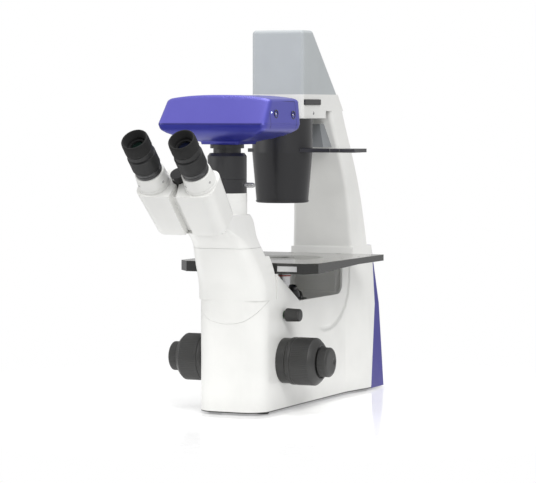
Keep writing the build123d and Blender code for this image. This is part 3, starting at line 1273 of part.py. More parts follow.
add("rear_sockets", power_inlet(), switch_frame())
add("switch_rocker", switch_rocker())
power_board = block(-34, 34, FLARE_END - 22, FLARE_END + 14, BASE_TOP, BASE_TOP + 2)
power_board += block(-30, -8, FLARE_END - 20, FLARE_END + 10, BASE_TOP + 2, BASE_TOP + 22)
power_board += block(4, 30, FLARE_END - 20, FLARE_END + 8, BASE_TOP + 2, BASE_TOP + 16)
add("electronics", power_board, dim_control)

# One shift along Y puts the origin under the middle; every node is written to its own file
boxes = [solid.bounding_box() for solids in NODES.values() for solid in solids]
FRONT_MOST = min(box.min.Y for box in boxes)
REAR_MOST = max(box.max.Y for box in boxes)
SHIFT = -(FRONT_MOST + REAR_MOST) / 2

if __name__ == "__main__":
    os.makedirs("parts", exist_ok=True)
    for name, solids in NODES.items():
        moved = [Pos(0, SHIFT, 0) * solid for solid in solids]
        export_step(moved[0] if len(moved) == 1 else Compound(children=moved), f"parts/{name}.step")
    print(len(NODES), "nodes, shift", round(SHIFT, 3))
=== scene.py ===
import math
import bpy
import numpy as np
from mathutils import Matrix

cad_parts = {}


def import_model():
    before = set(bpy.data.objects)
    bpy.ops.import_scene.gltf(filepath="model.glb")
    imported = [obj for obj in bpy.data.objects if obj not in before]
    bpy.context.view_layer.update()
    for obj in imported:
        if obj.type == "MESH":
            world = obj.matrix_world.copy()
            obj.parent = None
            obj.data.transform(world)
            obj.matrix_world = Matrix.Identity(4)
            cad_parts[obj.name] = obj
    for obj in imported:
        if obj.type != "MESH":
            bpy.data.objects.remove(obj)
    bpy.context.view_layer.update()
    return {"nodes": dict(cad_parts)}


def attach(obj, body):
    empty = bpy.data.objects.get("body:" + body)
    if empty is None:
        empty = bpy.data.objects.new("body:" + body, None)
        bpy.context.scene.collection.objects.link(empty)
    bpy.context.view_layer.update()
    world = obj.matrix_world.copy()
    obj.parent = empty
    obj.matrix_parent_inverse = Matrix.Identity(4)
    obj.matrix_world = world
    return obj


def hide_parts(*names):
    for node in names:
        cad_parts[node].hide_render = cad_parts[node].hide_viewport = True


# An inverted microscope: viewing head with a camera on its phototube, stage over the turret, lamp arm.
# Sizes are in millimetres: +Z up from the bench, +Y away from the user and counted from the stage's axis.

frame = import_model()

MM = 0.001
SHIFT = 76.76                    # Y of the stage's optical axis in the frame


# Shader nodes
class Wire:
    """An output socket in a node tree, with arithmetic."""

    def __init__(self, net, socket):
        self.net = net
        self.socket = socket

    def math(self, kind, *others):
        return self.net.node("ShaderNodeMath", self, *others, operation=kind)

    def __add__(self, other):
        return self.math("ADD", other)

    def __radd__(self, other):
        return self.math("ADD", other)

    def __sub__(self, other):
        return self.math("SUBTRACT", other)

    def __rsub__(self, other):
        return self.net.node("ShaderNodeMath", other, self, operation="SUBTRACT")

    def __mul__(self, other):
        return self.math("MULTIPLY", other)

    def __truediv__(self, other):
        return self.math("DIVIDE", other)

    def abs(self):
        return self.math("ABSOLUTE")

    def min(self, other):
        return self.math("MINIMUM", other)

    def max(self, other):
        return self.math("MAXIMUM", other)

    def sqrt(self):
        return self.math("SQRT")

    def sin(self):
        return self.math("SINE")

    def step(self, low, high):
        """0 under low, 1 over high, smooth in between."""
        return self.net.node("ShaderNodeMapRange", self, low, high, 0.0, 1.0,
                             interpolation_type="SMOOTHSTEP", clamp=True)

    def band(self, low, high, soft=0.3):
        """1 between low and high, 0 outside."""
        return self.step(low - soft, low + soft) * (1.0 - self.step(high - soft, high + soft))


class Net:
    """A material built from nodes; every input is a Wire or a constant."""

    def __init__(self, name, **constants):
        self.material = bpy.data.materials.new(name)
        self.material.use_nodes = True
        self.tree = self.material.node_tree
        self.shader = next(n for n in self.tree.nodes if n.type == "BSDF_PRINCIPLED")
        place = self.tree.nodes.new("ShaderNodeTexCoord").outputs["Object"]
        split = self.tree.nodes.new("ShaderNodeSeparateXYZ")
        self.tree.links.new(place, split.inputs[0])
        self.place = Wire(self, place)
        self.x, self.y, self.z = (Wire(self, out) / MM for out in split.outputs)
        self.y = self.y - SHIFT
        for key, value in constants.items():
            self.put(key.replace("_", " "), value)

    def link(self, target, value):
        """Joins a wire to an input, or sets the input's constant."""
        if isinstance(value, Wire):
            self.tree.links.new(value.socket, target)
        else:
            target.default_value = value

    def node(self, kind, *inputs, **settings):
        """Adds a node, sets its settings, feeds its inputs in order and gives its first output."""
        made = self.tree.nodes.new(kind)
        for key, value in settings.items():
            setattr(made, key, value)
        for target, value in zip(made.inputs, inputs):
            self.link(target, value)
        return Wire(self, made.outputs[0])

    def put(self, name, value):
        """Feeds one input of the surface shader."""
        if isinstance(value, tuple):
            value = (*value, 1.0)
        self.link(self.shader.inputs[name], value)
        return self

    def noise(self, scale, detail=3.0):
        """Fractal noise from 0 to 1; scale is features per metre."""
        made = self.tree.nodes.new("ShaderNodeTexNoise")
        self.link(made.inputs["Vector"], self.place)
        self.link(made.inputs["Scale"], float(scale))
        self.link(made.inputs["Detail"], detail)
        return Wire(self, made.outputs["Fac"])

    def cells(self, scale):
        """Distance to the nearest of scattered points; scale is points per metre."""
        made = self.tree.nodes.new("ShaderNodeTexVoronoi")
        self.link(made.inputs["Vector"], self.place)
        self.link(made.inputs["Scale"], float(scale))
        return Wire(self, made.outputs["Distance"])

    def mix(self, share, first, second):
        """The colour first where share is 0 and second where it is 1."""
        made = self.tree.nodes.new("ShaderNodeMix")
        made.data_type = "RGBA"
        self.link(made.inputs[0], share)
        for target, value in zip(made.inputs[6:8], (first, second)):
            self.link(target, value if isinstance(value, Wire) else (*value, 1.0))
        return Wire(self, made.outputs[2])

    def bump(self, height, distance=0.1):
        """Tilts the normal by a height in units of distance millimetres."""
        made = self.tree.nodes.new("ShaderNodeBump")
        self.link(made.inputs["Distance"], distance * MM)
        self.link(made.inputs["Height"], height)
        return self.put("Normal", Wire(self, made.outputs["Normal"]))

    def segment(self, u, v, first, last):
        """Distance from (u, v) to the straight line between two points."""
        du, dv = last[0] - first[0], last[1] - first[1]
        along = (((u - first[0]) * du + (v - first[1]) * dv) / (du * du + dv * dv)).max(0.0).min(1.0)
        off_u = u - first[0] - along * du
        off_v = v - first[1] - along * dv
        return (off_u * off_u + off_v * off_v).sqrt()

    def polyline(self, u, v, points):
        """Distance from (u, v) to a chain of points."""
        legs = [self.segment(u, v, a, b) for a, b in zip(points, points[1:])]
        nearest = legs[0]
        for leg in legs[1:]:
            nearest = nearest.min(leg)
        return nearest

    def from_axis(self):
        """Distance from the stage's optical axis."""
        return (self.x * self.x + self.y * self.y).sqrt()


def srgb(red, green, blue):
    """A colour read as 0 to 255 made linear."""
    channels = []
    for value in (red, green, blue):
        c = value / 255
        channels.append(c / 12.92 if c <= 0.04045 else ((c + 0.055) / 1.055) ** 2.4)
    return tuple(channels)


def shade(colour, factor):
    """The colour made darker by a factor."""
    return tuple(c * factor for c in colour)


# Materials
WHITE = srgb(236, 236, 233)
BLACK = srgb(38, 38, 40)
GROOVE = [(121.5, 186.0), (120.5, 160.0), (116.0, 141.0), (107.0, 125.0), (93.0, 112.5), (75.0, 103.5),
          (55.0, 98.5), (35.0, 98.0), (14.0, 101.0)]
GROOVE_HALF = 5.0
GROOVE_DEPTH = 1.6
GROOVE_FADE = (10.0, 40.0)       # the groove runs out towards the user
FLANK = (44.0, 46.5)             # the body's sides lie beyond this
JOINT_TOP = (4.2, 4.7)           # edge of the dark joint between the base plate and the body
PEEL = 900                       # orange peel, bumps per metre
BELT = 380.0                     # level of the line round the camera
BELT_LINE = (BELT - 1.4, BELT + 0.6)
RIB_PITCH = 2.4
RIB_LEVELS = (BELT + 31.8, BELT + 35.8)
RIB_REACH = (6.0, 62.0)
INSET_AT = (-170.0, 385.0)       # middle of the panel on the camera's end, and its half width and height
INSET_HALF = (38.0, 23.5)
CAMERA_END = (69.0, 75.0)        # the camera's end face starts here
STAGE_EDGE = (196.0, 196.9)      # the stage's top starts here


def sprayed(name):
    """A net with a thin clear coat, and the paint's faint cloudiness."""
    net = Net(name, Coat_Weight=0.25, Coat_Roughness=0.12)
    return net, net.noise(14, 4.0)


def enamel(name, colour, rough=0.3, grain=0.02):
    """Sprayed paint: a slight orange peel, faint cloudiness and a thin clear coat."""
    net, cloud = sprayed(name)
    net.put("Base Color", net.mix(cloud.step(0.35, 0.75), colour, shade(colour, 0.93)))
    net.put("Roughness", rough + (cloud - 0.5) * 0.08)
    return net.bump(net.noise(PEEL, 2.0), grain)


def cast_coat(name, colour, rough, scale, depth):
    """Textured lacquer or moulded plastic with a fine even grain."""
    net = Net(name)
    net.put("Base Color", net.mix(net.noise(20), colour, shade(colour, 0.85)))
    net.put("Roughness", rough + (net.noise(60) - 0.5) * 0.15)
    return net.bump(net.cells(scale), depth)


def metal(name, colour, rough, scale=700):
    """Machined metal with fine turning marks."""
    net = Net(name, Metallic=1.0)
    marks = net.noise(scale, 2.0)
    net.put("Base Color", net.mix(net.noise(30), colour, shade(colour, 0.88)))
    net.put("Roughness", rough + (marks - 0.5) * 0.12)
    return net.bump(marks, 0.01)


def glass(name, colour):
    """Coated lens glass: a dark clear body with a coloured reflection."""
    net = Net(name, Transmission_Weight=0.85, Roughness=0.03, Coat_Weight=1.0, Coat_Tint=colour, IOR=1.52)
    tint = tuple(0.25 + 0.6 * c for c in colour)
    return net.put("Base Color", net.mix(net.noise(25, 2.0), tint, shade(tint, 0.9)))


def body_paint():
    """The body's enamel, with the curved groove pressed into both sides and darkened with painted shade,
    blotches darker towards the bottom, and the base's dark joint.
    """
    net, cloud = sprayed("body_paint")
    away = net.polyline(net.y, net.z, GROOVE)
    groove = (1.0 - away.step(0.0, GROOVE_HALF)) * net.x.abs().step(*FLANK) * net.y.step(*GROOVE_FADE)
    paint = net.mix(cloud.step(0.35, 0.75), WHITE, shade(WHITE, 0.93))
    # blotches darker towards the bottom, fading out by 30 mm over the bench
    low_darkening = (1.0 - net.z.step(6.0, 30.0)) * net.noise(45, 5.0) * 0.35
    paint = net.mix(low_darkening, paint, shade(WHITE, 0.55))
    # painted shade: the groove's recess is coloured grey where shade falls in it
    paint = net.mix(groove * 0.35, paint, srgb(150, 150, 147))
    net.put("Base Color", net.mix(1.0 - net.z.step(*JOINT_TOP), paint, srgb(40, 40, 40)))
    net.put("Roughness", 0.3 + (cloud - 0.5) * 0.08 + groove * 0.1)
    return net.bump(net.noise(PEEL, 2.0) * 0.02 - groove, GROOVE_DEPTH)


def camera_paint():
    """Blue anodising with painted light and shade: a lighter violet over the belt where the face catches
    the light, a darker blue under it for the undercut in shade, fine ribs on the top edge.
    """
    net = Net("camera_paint", Metallic=0.35, Coat_Weight=0.15)
    lit_above_belt = net.z.step(BELT - 1.0, BELT + 1.5)
    cloud = net.noise(18, 4.0)
    # painted light and shade: the violet over the belt is coloured as lit, the blue under it as shaded
    light = net.mix(cloud, srgb(104, 100, 194), srgb(90, 86, 180))
    painted_shade_blue = net.mix(cloud, srgb(46, 50, 158), srgb(38, 42, 140))
    belt = net.z.band(*BELT_LINE, 0.25)
    ribs = (net.x * (math.tau / RIB_PITCH)).sin() * net.z.band(*RIB_LEVELS) * net.x.band(*RIB_REACH, 1.0)
    off_side = (net.y - INSET_AT[0]).abs() - INSET_HALF[0]
    off_level = (net.z - INSET_AT[1]).abs() - INSET_HALF[1]
    border = (1.0 - off_side.max(off_level).abs().step(0.3, 0.8)) * net.x.step(75.0, 76.0)
    end = net.x.step(*CAMERA_END)
    # the end face keeps one blue, without the painted light and shade
    shell = net.mix(end, net.mix(lit_above_belt, painted_shade_blue, light), srgb(82, 82, 178))
    net.put("Base Color", net.mix((belt * (1.0 - end) * 0.5).max(border * 0.7), shell, srgb(34, 32, 90)))
    net.put("Roughness", 0.34 + (cloud - 0.5) * 0.1)
    return net.bump(net.noise(1200, 2.0) * 0.03 + ribs * 0.4 - belt - border, 0.4)


def stage_lacquer():
    """The stage's glossy dark lacquer, slightly worn where vessels slide."""
    net = Net("stage_lacquer", Coat_Weight=0.6, Coat_Roughness=0.06)
    worn = net.noise(35, 5.0).step(0.45, 0.8)
    top = net.mix(worn, srgb(72, 70, 64), srgb(88, 86, 78))
    net.put("Base Color", net.mix(net.z.step(*STAGE_EDGE), srgb(32, 32, 31), top))
    net.put("Roughness", 0.14 + worn * 0.1)
    return net.bump(net.noise(500), 0.02)


def scored(name, colour, rough, pitch):
    """Metal with fine rings round the optical axis."""
    net = Net(name, Metallic=1.0)
    rings = (net.from_axis() * (math.tau / pitch)).sin()
    net.put("Base Color", net.mix(net.noise(30), colour, shade(colour, 0.88)))
    net.put("Roughness", rough + rings * 0.05)
    return net.bump(rings, 0.02)


def circuit():
    """Green board with copper tracks."""
    net = Net("circuit", Roughness=0.4, Coat_Weight=0.3)
    tracks = (net.x * 1.6).sin() * (net.y * 1.3).sin()
    return net.put("Base Color", net.mix(tracks.step(0.3, 0.5), srgb(18, 84, 40), srgb(60, 120, 60)))


def lamp_glow():
    """The small lit lamp on the camera's end."""
    net = Net("ready_lamp", Roughness=0.3, Emission_Strength=1.5, Emission_Color=(0.7, 0.85, 1.0))
    return net.put("Base Color", net.mix(net.noise(200), (0.8, 0.9, 1.0), (0.7, 0.8, 1.0)))


paint = enamel("white_paint", WHITE)
body = body_paint()
black = enamel("black_enamel", BLACK, 0.34, 0.03)
dull = cast_coat("black_grip", srgb(30, 30, 31), 0.55, 1400, 0.05)
knob = cast_coat("grey_knob", srgb(52, 52, 51), 0.42, 1800, 0.03)
grey = cast_coat("grey_cover", srgb(190, 195, 197), 0.4, 2200, 0.02)
blue = cast_coat("blue_panel", srgb(62, 58, 142), 0.45, 1500, 0.05)
rubber = cast_coat("rubber", srgb(24, 24, 24), 0.8, 900, 0.1)
cast = cast_coat("cast_grey", srgb(146, 149, 152), 0.6, 700, 0.15)
dark_steel = metal("dark_steel", (0.16, 0.16, 0.165), 0.32, 900)
silver = metal("bare_aluminium", (0.80, 0.80, 0.81), 0.3)
steel = metal("steel", (0.62, 0.62, 0.63), 0.24, 1100)
brass = metal("brass", (0.70, 0.52, 0.22), 0.3)
insert = scored("insert_rings", (0.42, 0.42, 0.40), 0.3, 1.2)
lens_clear = glass("lens_glass", srgb(170, 200, 220))
lens_green = glass("coating_green", srgb(112, 150, 140))
lens_blue = glass("coating_blue", srgb(112, 124, 165))
filter_clear = glass("filter_glass", srgb(160, 200, 230))
camera_blue = camera_paint()
stage_dark = stage_lacquer()
board = circuit()

LOOKS = {
    body: ["stand_shell"],
    paint: ["neck_cover", "head_body", "column_shell", "lamp_arm", "inner_posts", "phototube",
            "prism_housing_left", "prism_housing_right", "viewing_tube_left", "viewing_tube_right"],
    grey: ["lamp_housing"],
    blue: ["rear_panel"],
    black: ["base_plate", "filter_tray", "condenser_housing", "condenser_carrier", "turret",
            "adapter_socket", "camera_adapter", "eye_barrel_left", "eye_barrel_right"],
    dull: ["diopter_ring_left", "diopter_ring_right", "eyecup_left", "eyecup_right", "head_hinge",
           "rear_sockets", "switch_rocker", "light_source"],
    knob: ["coarse_knobs", "fine_knobs", "brightness_knob", "focus_bushes", "camera_ports"],
    rubber: ["rubber_feet"],
    cast: ["column_frame", "nosepiece_carriage", "inner_frame", "condenser_rail"],
    dark_steel: ["phase_slider"],
    silver: ["lamp_tube", "stage_front_plate", "objectives"],
    steel: ["body_screws", "coarse_shaft", "clamp_screw"],
    brass: ["focus_rack"],
    insert: ["stage_insert"],
    lens_clear: ["collector_lens", "condenser_lenses", "path_optics", "adapter_lenses"],
    lens_green: ["eye_lens_left"],
    lens_blue: ["eye_lens_right"],
    filter_clear: ["light_filter"],
    camera_blue: ["camera_shell"],
    stage_dark: ["stage_plate"],
    board: ["sensor_board", "electronics"],
}
for net, names in LOOKS.items():
    for name in names:
        for place in frame["nodes"][name].material_slots:
            place.material = net.material


# Places and directions
TO_RIGHT = np.array([1.0, 0.0, 0.0])
AWAY = np.array([0.0, 1.0, 0.0])
UP = np.array([0.0, 0.0, 1.0])
TILT = math.radians(45.0)
DOWN_TUBE = np.array([0.0, math.cos(TILT), -math.sin(TILT)])
OFF_TUBE = np.array([0.0, math.sin(TILT), math.cos(TILT)])
EYES = np.array([0.0, -374.0, 362.0])
EYE_HALF = 32.4
HINGE = EYES + OFF_TUBE * 8.0
FOCUS = np.array([0.0, -100.0, 67.0])
DIMMER = np.array([0.0, -100.0, 127.5])
LEAN = math.radians(15.0)
SEAT_RADIUS = 24.0
SEAT_LEVEL = 152.0
TURRET_AXIS = np.array([0.0, -math.sin(LEAN), math.cos(LEAN)])
TURRET_CENTRE = np.array([0.0, -SEAT_RADIUS * math.cos(LEAN), SEAT_LEVEL - SEAT_RADIUS * math.sin(LEAN)])


# Surfaces
CORNER_STEPS = 4
CORNER_SHARE = 0.45              # a rounded corner takes no more of a leg than this


def basis(axis):
    """The axis as a unit vector and two more square to it."""
    axis = np.array(axis, float) / np.linalg.norm(axis)
    helper = TO_RIGHT if abs(axis[0]) < 0.9 else UP
    u = np.cross(helper, axis)
    u /= np.linalg.norm(u)
    return axis, u, np.cross(axis, u)


def rounded(points, radius):
    """A profile with each inner corner replaced by a quadratic curve of about that radius."""
    points = [np.array(p, float) for p in points]
    made = [points[0]]
    for before, corner, after in zip(points, points[1:], points[2:]):
        back, ahead = before - corner, after - corner
        reach_back = min(radius, CORNER_SHARE * np.linalg.norm(back))
        reach_ahead = min(radius, CORNER_SHARE * np.linalg.norm(ahead))
        start = corner + back / np.linalg.norm(back) * reach_back
        end = corner + ahead / np.linalg.norm(ahead) * reach_ahead
        for t in np.linspace(0, 1, CORNER_STEPS + 1):
            made.append((1 - t) ** 2 * start + 2 * t * (1 - t) * corner + t * t * end)
    made.append(points[-1])
    return np.array(made)


def divided(profile, longest):
    """The profile with points added so that no leg is longer than longest."""
    made = [profile[0]]
    for a, b in zip(profile, profile[1:]):
        count = max(1, int(math.ceil(np.linalg.norm(b - a) / longest)))
        for i in range(1, count + 1):
            made.append(a + (b - a) * i / count)
    return np.array(made)


def smooth(points, radius, longest):
    """A profile with rounded corners and short legs."""
    return divided(rounded(points, radius), longest)


def lathe(origin, axis, profile, turns=96, change=None):
    """P(s, a) = origin + s axis + (r(s) + change(s, a)) (u cos a + v sin a), profile being (s, r) pairs."""
    axis, u, v = basis(axis)
    profile = np.array(profile, float)
    angle = np.linspace(0, math.tau, turns, endpoint=False)
    s, a = np.meshgrid(profile[:, 0], angle, indexing="ij")
    r = np.repeat(profile[:, 1][:, None], turns, axis=1)
    if change is not None:
        r = r + change(s, a) * (r > 0.5)
    ray = u * np.cos(a)[..., None] + v * np.sin(a)[..., None]
    return np.array(origin) + axis * s[..., None] + ray * r[..., None]


def slab(centre, directions, half, power, rows, turns):
    """A box with soft edges, a superellipsoid with the half sizes w, h and d along three directions:
    P(a, b) = centre + w across f(cos a cos b) + h along f(cos a sin b) + d out f(sin a),
    where f(t) = sign(t) |t|^(2/power)."""
    a = np.linspace(-math.pi / 2, math.pi / 2, rows)
    b = np.linspace(0, math.tau, turns, endpoint=False)
    a, b = np.meshgrid(a, b, indexing="ij")

    def soft(value):
        return np.sign(value) * np.abs(value) ** (2 / power)

    parts = (soft(np.cos(a)) * soft(np.cos(b)), soft(np.cos(a)) * soft(np.sin(b)), soft(np.sin(a)))
    return np.array(centre, float) + sum(
        np.array(way, float) * size * part[..., None] for way, size, part in zip(directions, half, parts))


def piece(name, grids, net, body_name, slot, *nodes):
    """One mesh from grids of points in millimetres, each closed along its second index."""
    points, faces, offset = [], [], 0
    for grid in grids:
        rows, columns = grid.shape[:2]
        left = offset + np.arange(rows * columns).reshape(rows, columns)
        right = np.roll(left, -1, axis=1)
        faces.append(np.stack([left[:-1], right[:-1], right[1:], left[1:]], -1).reshape(-1, 4))
        points.append(grid.reshape(-1, 3))
        offset += rows * columns
    points = np.concatenate(points)
    points[:, 1] += SHIFT
    mesh = bpy.data.meshes.new(name)
    mesh.from_pydata((points * MM).tolist(), [], np.concatenate(faces).tolist())
    mesh.validate()
    mesh.polygons.foreach_set("use_smooth", np.ones(len(mesh.polygons), bool))
    mesh.update()
    made = bpy.data.objects.new(name, mesh)
    bpy.context.collection.objects.link(made)
    mesh.materials.append(net.material)
    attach(made, body_name)
    if nodes:
        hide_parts(*nodes)


def screw(centre, axis, radius, height):
    """A socket screw's head with a recess."""
    recess = height - 0.5
    profile = [(-0.4, 0), (-0.4, radius), (height - 0.2, radius), (height, radius - 0.2),
               (height, radius * 0.5), (recess, radius * 0.45), (recess, 0)]
    return lathe(centre, axis, profile, 32)


def rod(start, length, radius, turns):
    """A plain rod to the right."""
    return lathe(start, TO_RIGHT, [(0, 0), (0, radius), (length, radius), (length, 0)], turns)


# Focus knobs, with profiles as (distance outwards, radius)
COARSE_START = 60.3
COARSE = [(0, 0), (0, 30.0), (1.0, 31.3), (2.0, 31.5), (5.6, 31.5), (6.4, 30.6), (7.2, 30.6), (8.0, 31.5),
          (33.5, 31.5), (37.5, 28.0), (40.0, 25.0), (41.2, 23.5), (41.2, 21.0), (39.6, 20.4), (39.6, 0)]
FINE_START = 101.8
FINE = [(0, 0), (0, 18.5), (0.6, 19.5), (11.6, 19.5), (13.2, 17.6), (13.7, 15.0), (13.7, 0)]
FINE_ROD_END = 109.0
ROD_RADIUS = 3.0
DIMPLE_RADIUS = 5.0
DIMPLE_DEPTH = 1.6
DIMPLE_OFF = 9.0                 # from the knob's middle to the dimple's
DIMPLE_FROM = 113.5              # only the knob's outer face lies beyond this


def flutes(count, depth, low, high, width=0.5):
    """change(s, a) = -depth g(a) w(s): g is 1 in the middle of each of count flutes,
    w fades at the grip's ends."""
    def change(s, a):
        wave = np.clip((np.cos(count * a) - (1 - 2 * width)) / (2 * width), 0, 1)
        fade = np.clip((s - low) / 1.5, 0, 1) * np.clip((high - s) / 1.5, 0, 1)
        return -depth * np.sqrt(wave) * np.sqrt(fade)
    return change


def finger_dimple(points, side):
    """x is drawn in by depth (1 - q) where q, the squared distance from the dimple's centre over its
    squared radius, is below 1."""
    off_y = points[..., 1] - FOCUS[1] - DIMPLE_OFF
    q = (off_y ** 2 + (points[..., 2] - FOCUS[2]) ** 2) / DIMPLE_RADIUS ** 2
    outer = side * points[..., 0] > DIMPLE_FROM
    points[..., 0] -= side * DIMPLE_DEPTH * np.clip(1 - q, 0, 1) * outer
    return points


coarse = []
fine = []
for side in (-1, 1):
    out = side * TO_RIGHT
    coarse.append(lathe(FOCUS + out * COARSE_START, out, smooth(COARSE, 0.9, 1.2), 288,
                        flutes(72, 0.45, 8.5, 34.5)))
    cap = lathe(FOCUS + out * FINE_START, out, smooth(FINE, 0.8, 0.9), 360, flutes(60, 0.35, 0.8, 11.8))
    fine.append(finger_dimple(cap, side))
fine.append(rod(FOCUS - TO_RIGHT * FINE_ROD_END, 2 * FINE_ROD_END, ROD_RADIUS, 24))
piece("coarse_focus_knobs", coarse, knob, "coarse_drive", "grey_knob", "coarse_knobs")
piece("fine_focus_knobs", fine, knob, "fine_drive", "grey_knob", "fine_knobs")


# Eyepieces, with profiles as (distance from the eye down the tube, radius)
CUP = [(9.0, 12.05), (0.5, 15.2), (0.0, 15.8), (0.1, 16.6), (1.2, 17.3), (5.0, 17.7), (16.9, 17.8),
       (18.0, 17.0), (18.0, 12.1), (9.0, 12.05)]
DIOPTER = [(12.0, 9.05), (12.0, 11.9), (18.0, 11.9), (18.0, 16.6), (18.8, 17.4), (24.6, 17.4), (25.4, 16.6),
           (26.2, 16.6), (26.6, 18.3), (27.4, 18.5), (45.6, 18.5), (46.4, 18.3), (46.8, 17.2), (47.6, 17.2),
           (47.7, 14.05), (30.2, 14.05), (30.2, 9.05), (12.0, 9.05)]
BARREL = [(30.4, 11.5), (30.4, 14.0), (48.0, 14.0), (48.0, 16.9), (48.5, 17.3), (51.4, 17.3), (51.8, 16.8),
          (52.8, 16.8), (53.2, 17.3), (56.4, 17.3), (57.0, 16.8), (57.0, 14.0), (75.6, 14.0), (75.6, 11.5),
          (30.4, 11.5)]
LENS = [(13.6, 0.0), (13.6, 4.0), (13.9, 7.0), (14.6, 8.9), (18.6, 8.9), (18.9, 5.0), (19.0, 0.0)]
TUBE = [(57.3, 14.05), (57.3, 18.2), (58.0, 19.0), (60.0, 19.1), (74.0, 20.7), (74.6, 20.3), (75.4, 20.3),
        (76.0, 20.95), (78.6, 21.4), (79.0, 21.2), (79.0, 14.05), (57.3, 14.05)]
GRIP_BAND = (27.6, 45.4)
SCREW_TURNS = (-2.2, -0.4, 1.4)
SCREW_DOWN = 68.0
SCREW_OUT = 19.7
SCREW_HEAD = (1.6, 0.7)          # radius and height


def diamonds(count, pitch, depth, low, high):
    """change(s, a) = -depth (1 - |sin(n a / 2 + p s)| |sin(n a / 2 - p s)|) between low and high."""
    def change(s, a):
        around = count * a / 2
        down = s * math.pi / pitch
        crossing = np.abs(np.sin(around + down) * np.sin(around - down))
        fade = np.clip((s - low) / 0.6, 0, 1) * np.clip((high - s) / 0.6, 0, 1)
        return -depth * (1 - crossing) * fade
    return change


def collar_screws(eye):
    """Three small screws round the white collar."""
    screws = []
    for turn in SCREW_TURNS:
        ray = TO_RIGHT * math.cos(turn) + OFF_TUBE * math.sin(turn)
        screws.append(screw(eye + DOWN_TUBE * SCREW_DOWN + ray * SCREW_OUT, ray, *SCREW_HEAD))
    return screws


for side, way, coating in (("left", -1, lens_green), ("right", 1, lens_blue)):
    eye = EYES + TO_RIGHT * way * EYE_HALF
    turning, fixed = f"eyepiece_{side}", f"tube_{side}"
    cup = lathe(eye, DOWN_TUBE, smooth(CUP, 0.5, 1.5), 120)
    piece(f"eyecup_rubber_{side}", [cup], rubber, turning, "black_grip", f"eyecup_{side}")
    grip = lathe(eye, DOWN_TUBE, smooth(DIOPTER, 0.25, 0.5), 360, diamonds(60, 2.0, 0.35, *GRIP_BAND))
    piece(f"diopter_grip_{side}", [grip], dull, turning, "black_grip", f"diopter_ring_{side}")
    barrel = lathe(eye, DOWN_TUBE, rounded(BARREL, 0.25))
    piece(f"eyepiece_barrel_{side}", [barrel], black, fixed, "black_enamel", f"eye_barrel_{side}")
    eye_glass = lathe(eye, DOWN_TUBE, smooth(LENS, 0.3, 1.0))
    piece(f"eye_glass_{side}", [eye_glass], coating, turning, "lens_glass", f"eye_lens_{side}")
    collar = lathe(eye, DOWN_TUBE, smooth(TUBE, 0.3, 2.0), 120)
    piece(f"viewing_collar_{side}", [collar], paint, fixed, "white_paint", f"viewing_tube_{side}")
    piece(f"collar_screws_{side}", collar_screws(eye), steel, fixed, "steel")


# Objectives: three stepped barrels with a coloured band each, and a short dark one
REACHES = (35.0, 30.0, 34.0, 16.0)
BAND_COLOURS = (srgb(190, 60, 50), srgb(220, 180, 60), srgb(70, 150, 80))
OBJ_RADIUS = 11.5


def seat(index):
    """Centre and direction of an objective: turned about the turret's axis and leaning out with it."""
    angle = math.tau * index / len(REACHES)
    ahead = np.cross(TURRET_AXIS, TO_RIGHT)
    outward = TO_RIGHT * -math.sin(angle) + ahead * math.cos(angle)
    return TURRET_CENTRE + outward * SEAT_RADIUS, outward * math.sin(LEAN) + TURRET_AXIS * math.cos(LEAN)


def objective_profile(reach):
    """A fluted foot, a groove where the barrel is long enough, and a cone up to the front lens."""
    body_end = reach - 12.0
    foot = [(-5.0, 0), (-5.0, 9.9), (0.0, 9.9), (0.0, 11.0), (0.5, OBJ_RADIUS)]
    groove = [(5.0, OBJ_RADIUS), (5.3, 11.1), (6.3, 11.1), (6.6, OBJ_RADIUS)] if body_end > 8.0 else []
    front = [(body_end - 1.0, OBJ_RADIUS), (body_end, 11.2), (reach - 4.2, 6.7), (reach - 4.0, 5.5),
             (reach - 0.3, 5.5), (reach, 5.2), (reach, 3.6), (reach - 0.6, 3.4), (reach - 0.6, 0)]
    return foot + groove + front


barrels = []
bands = []
tips = []
for index, reach in enumerate(REACHES):
    place, lean = seat(index)
    low, high = reach - 15.4, reach - 13.6
    barrels.append(lathe(place, lean, smooth(objective_profile(reach), 0.3, 1.2), 160,
                         flutes(40, 0.25, 1.0, 3.6)))
    bands.append(lathe(place, lean, [(low, 11.4), (low, 11.56), (high, 11.56), (high, 11.4)]))
    tips.append(lathe(place, lean, [(reach - 0.58, 3.3), (reach - 0.58, 0)], 48))
piece("objective_barrels", barrels[:3], silver, "turret", "bare_aluminium", "objectives")
piece("objective_short", barrels[3:], black, "turret", "black_enamel")
piece("objective_fronts", tips, lens_blue, "turret", "lens_glass")
for index, colour in enumerate(BAND_COLOURS):
    piece(f"objective_band_{index}", [bands[index]], enamel(f"band_{index}", colour), "turret",
          "bare_aluminium")


# Ring on the phototube
PHOTO_AT = np.array([0.0, -175.0, 0.0])
RING = [(279.0, 25.9), (279.0, 26.15), (281.0, 26.15), (281.0, 25.9)]
piece("phototube_ring", [lathe(PHOTO_AT, UP, smooth(RING, 0.3, 1.5), 120)], paint, "stand", "white_paint")


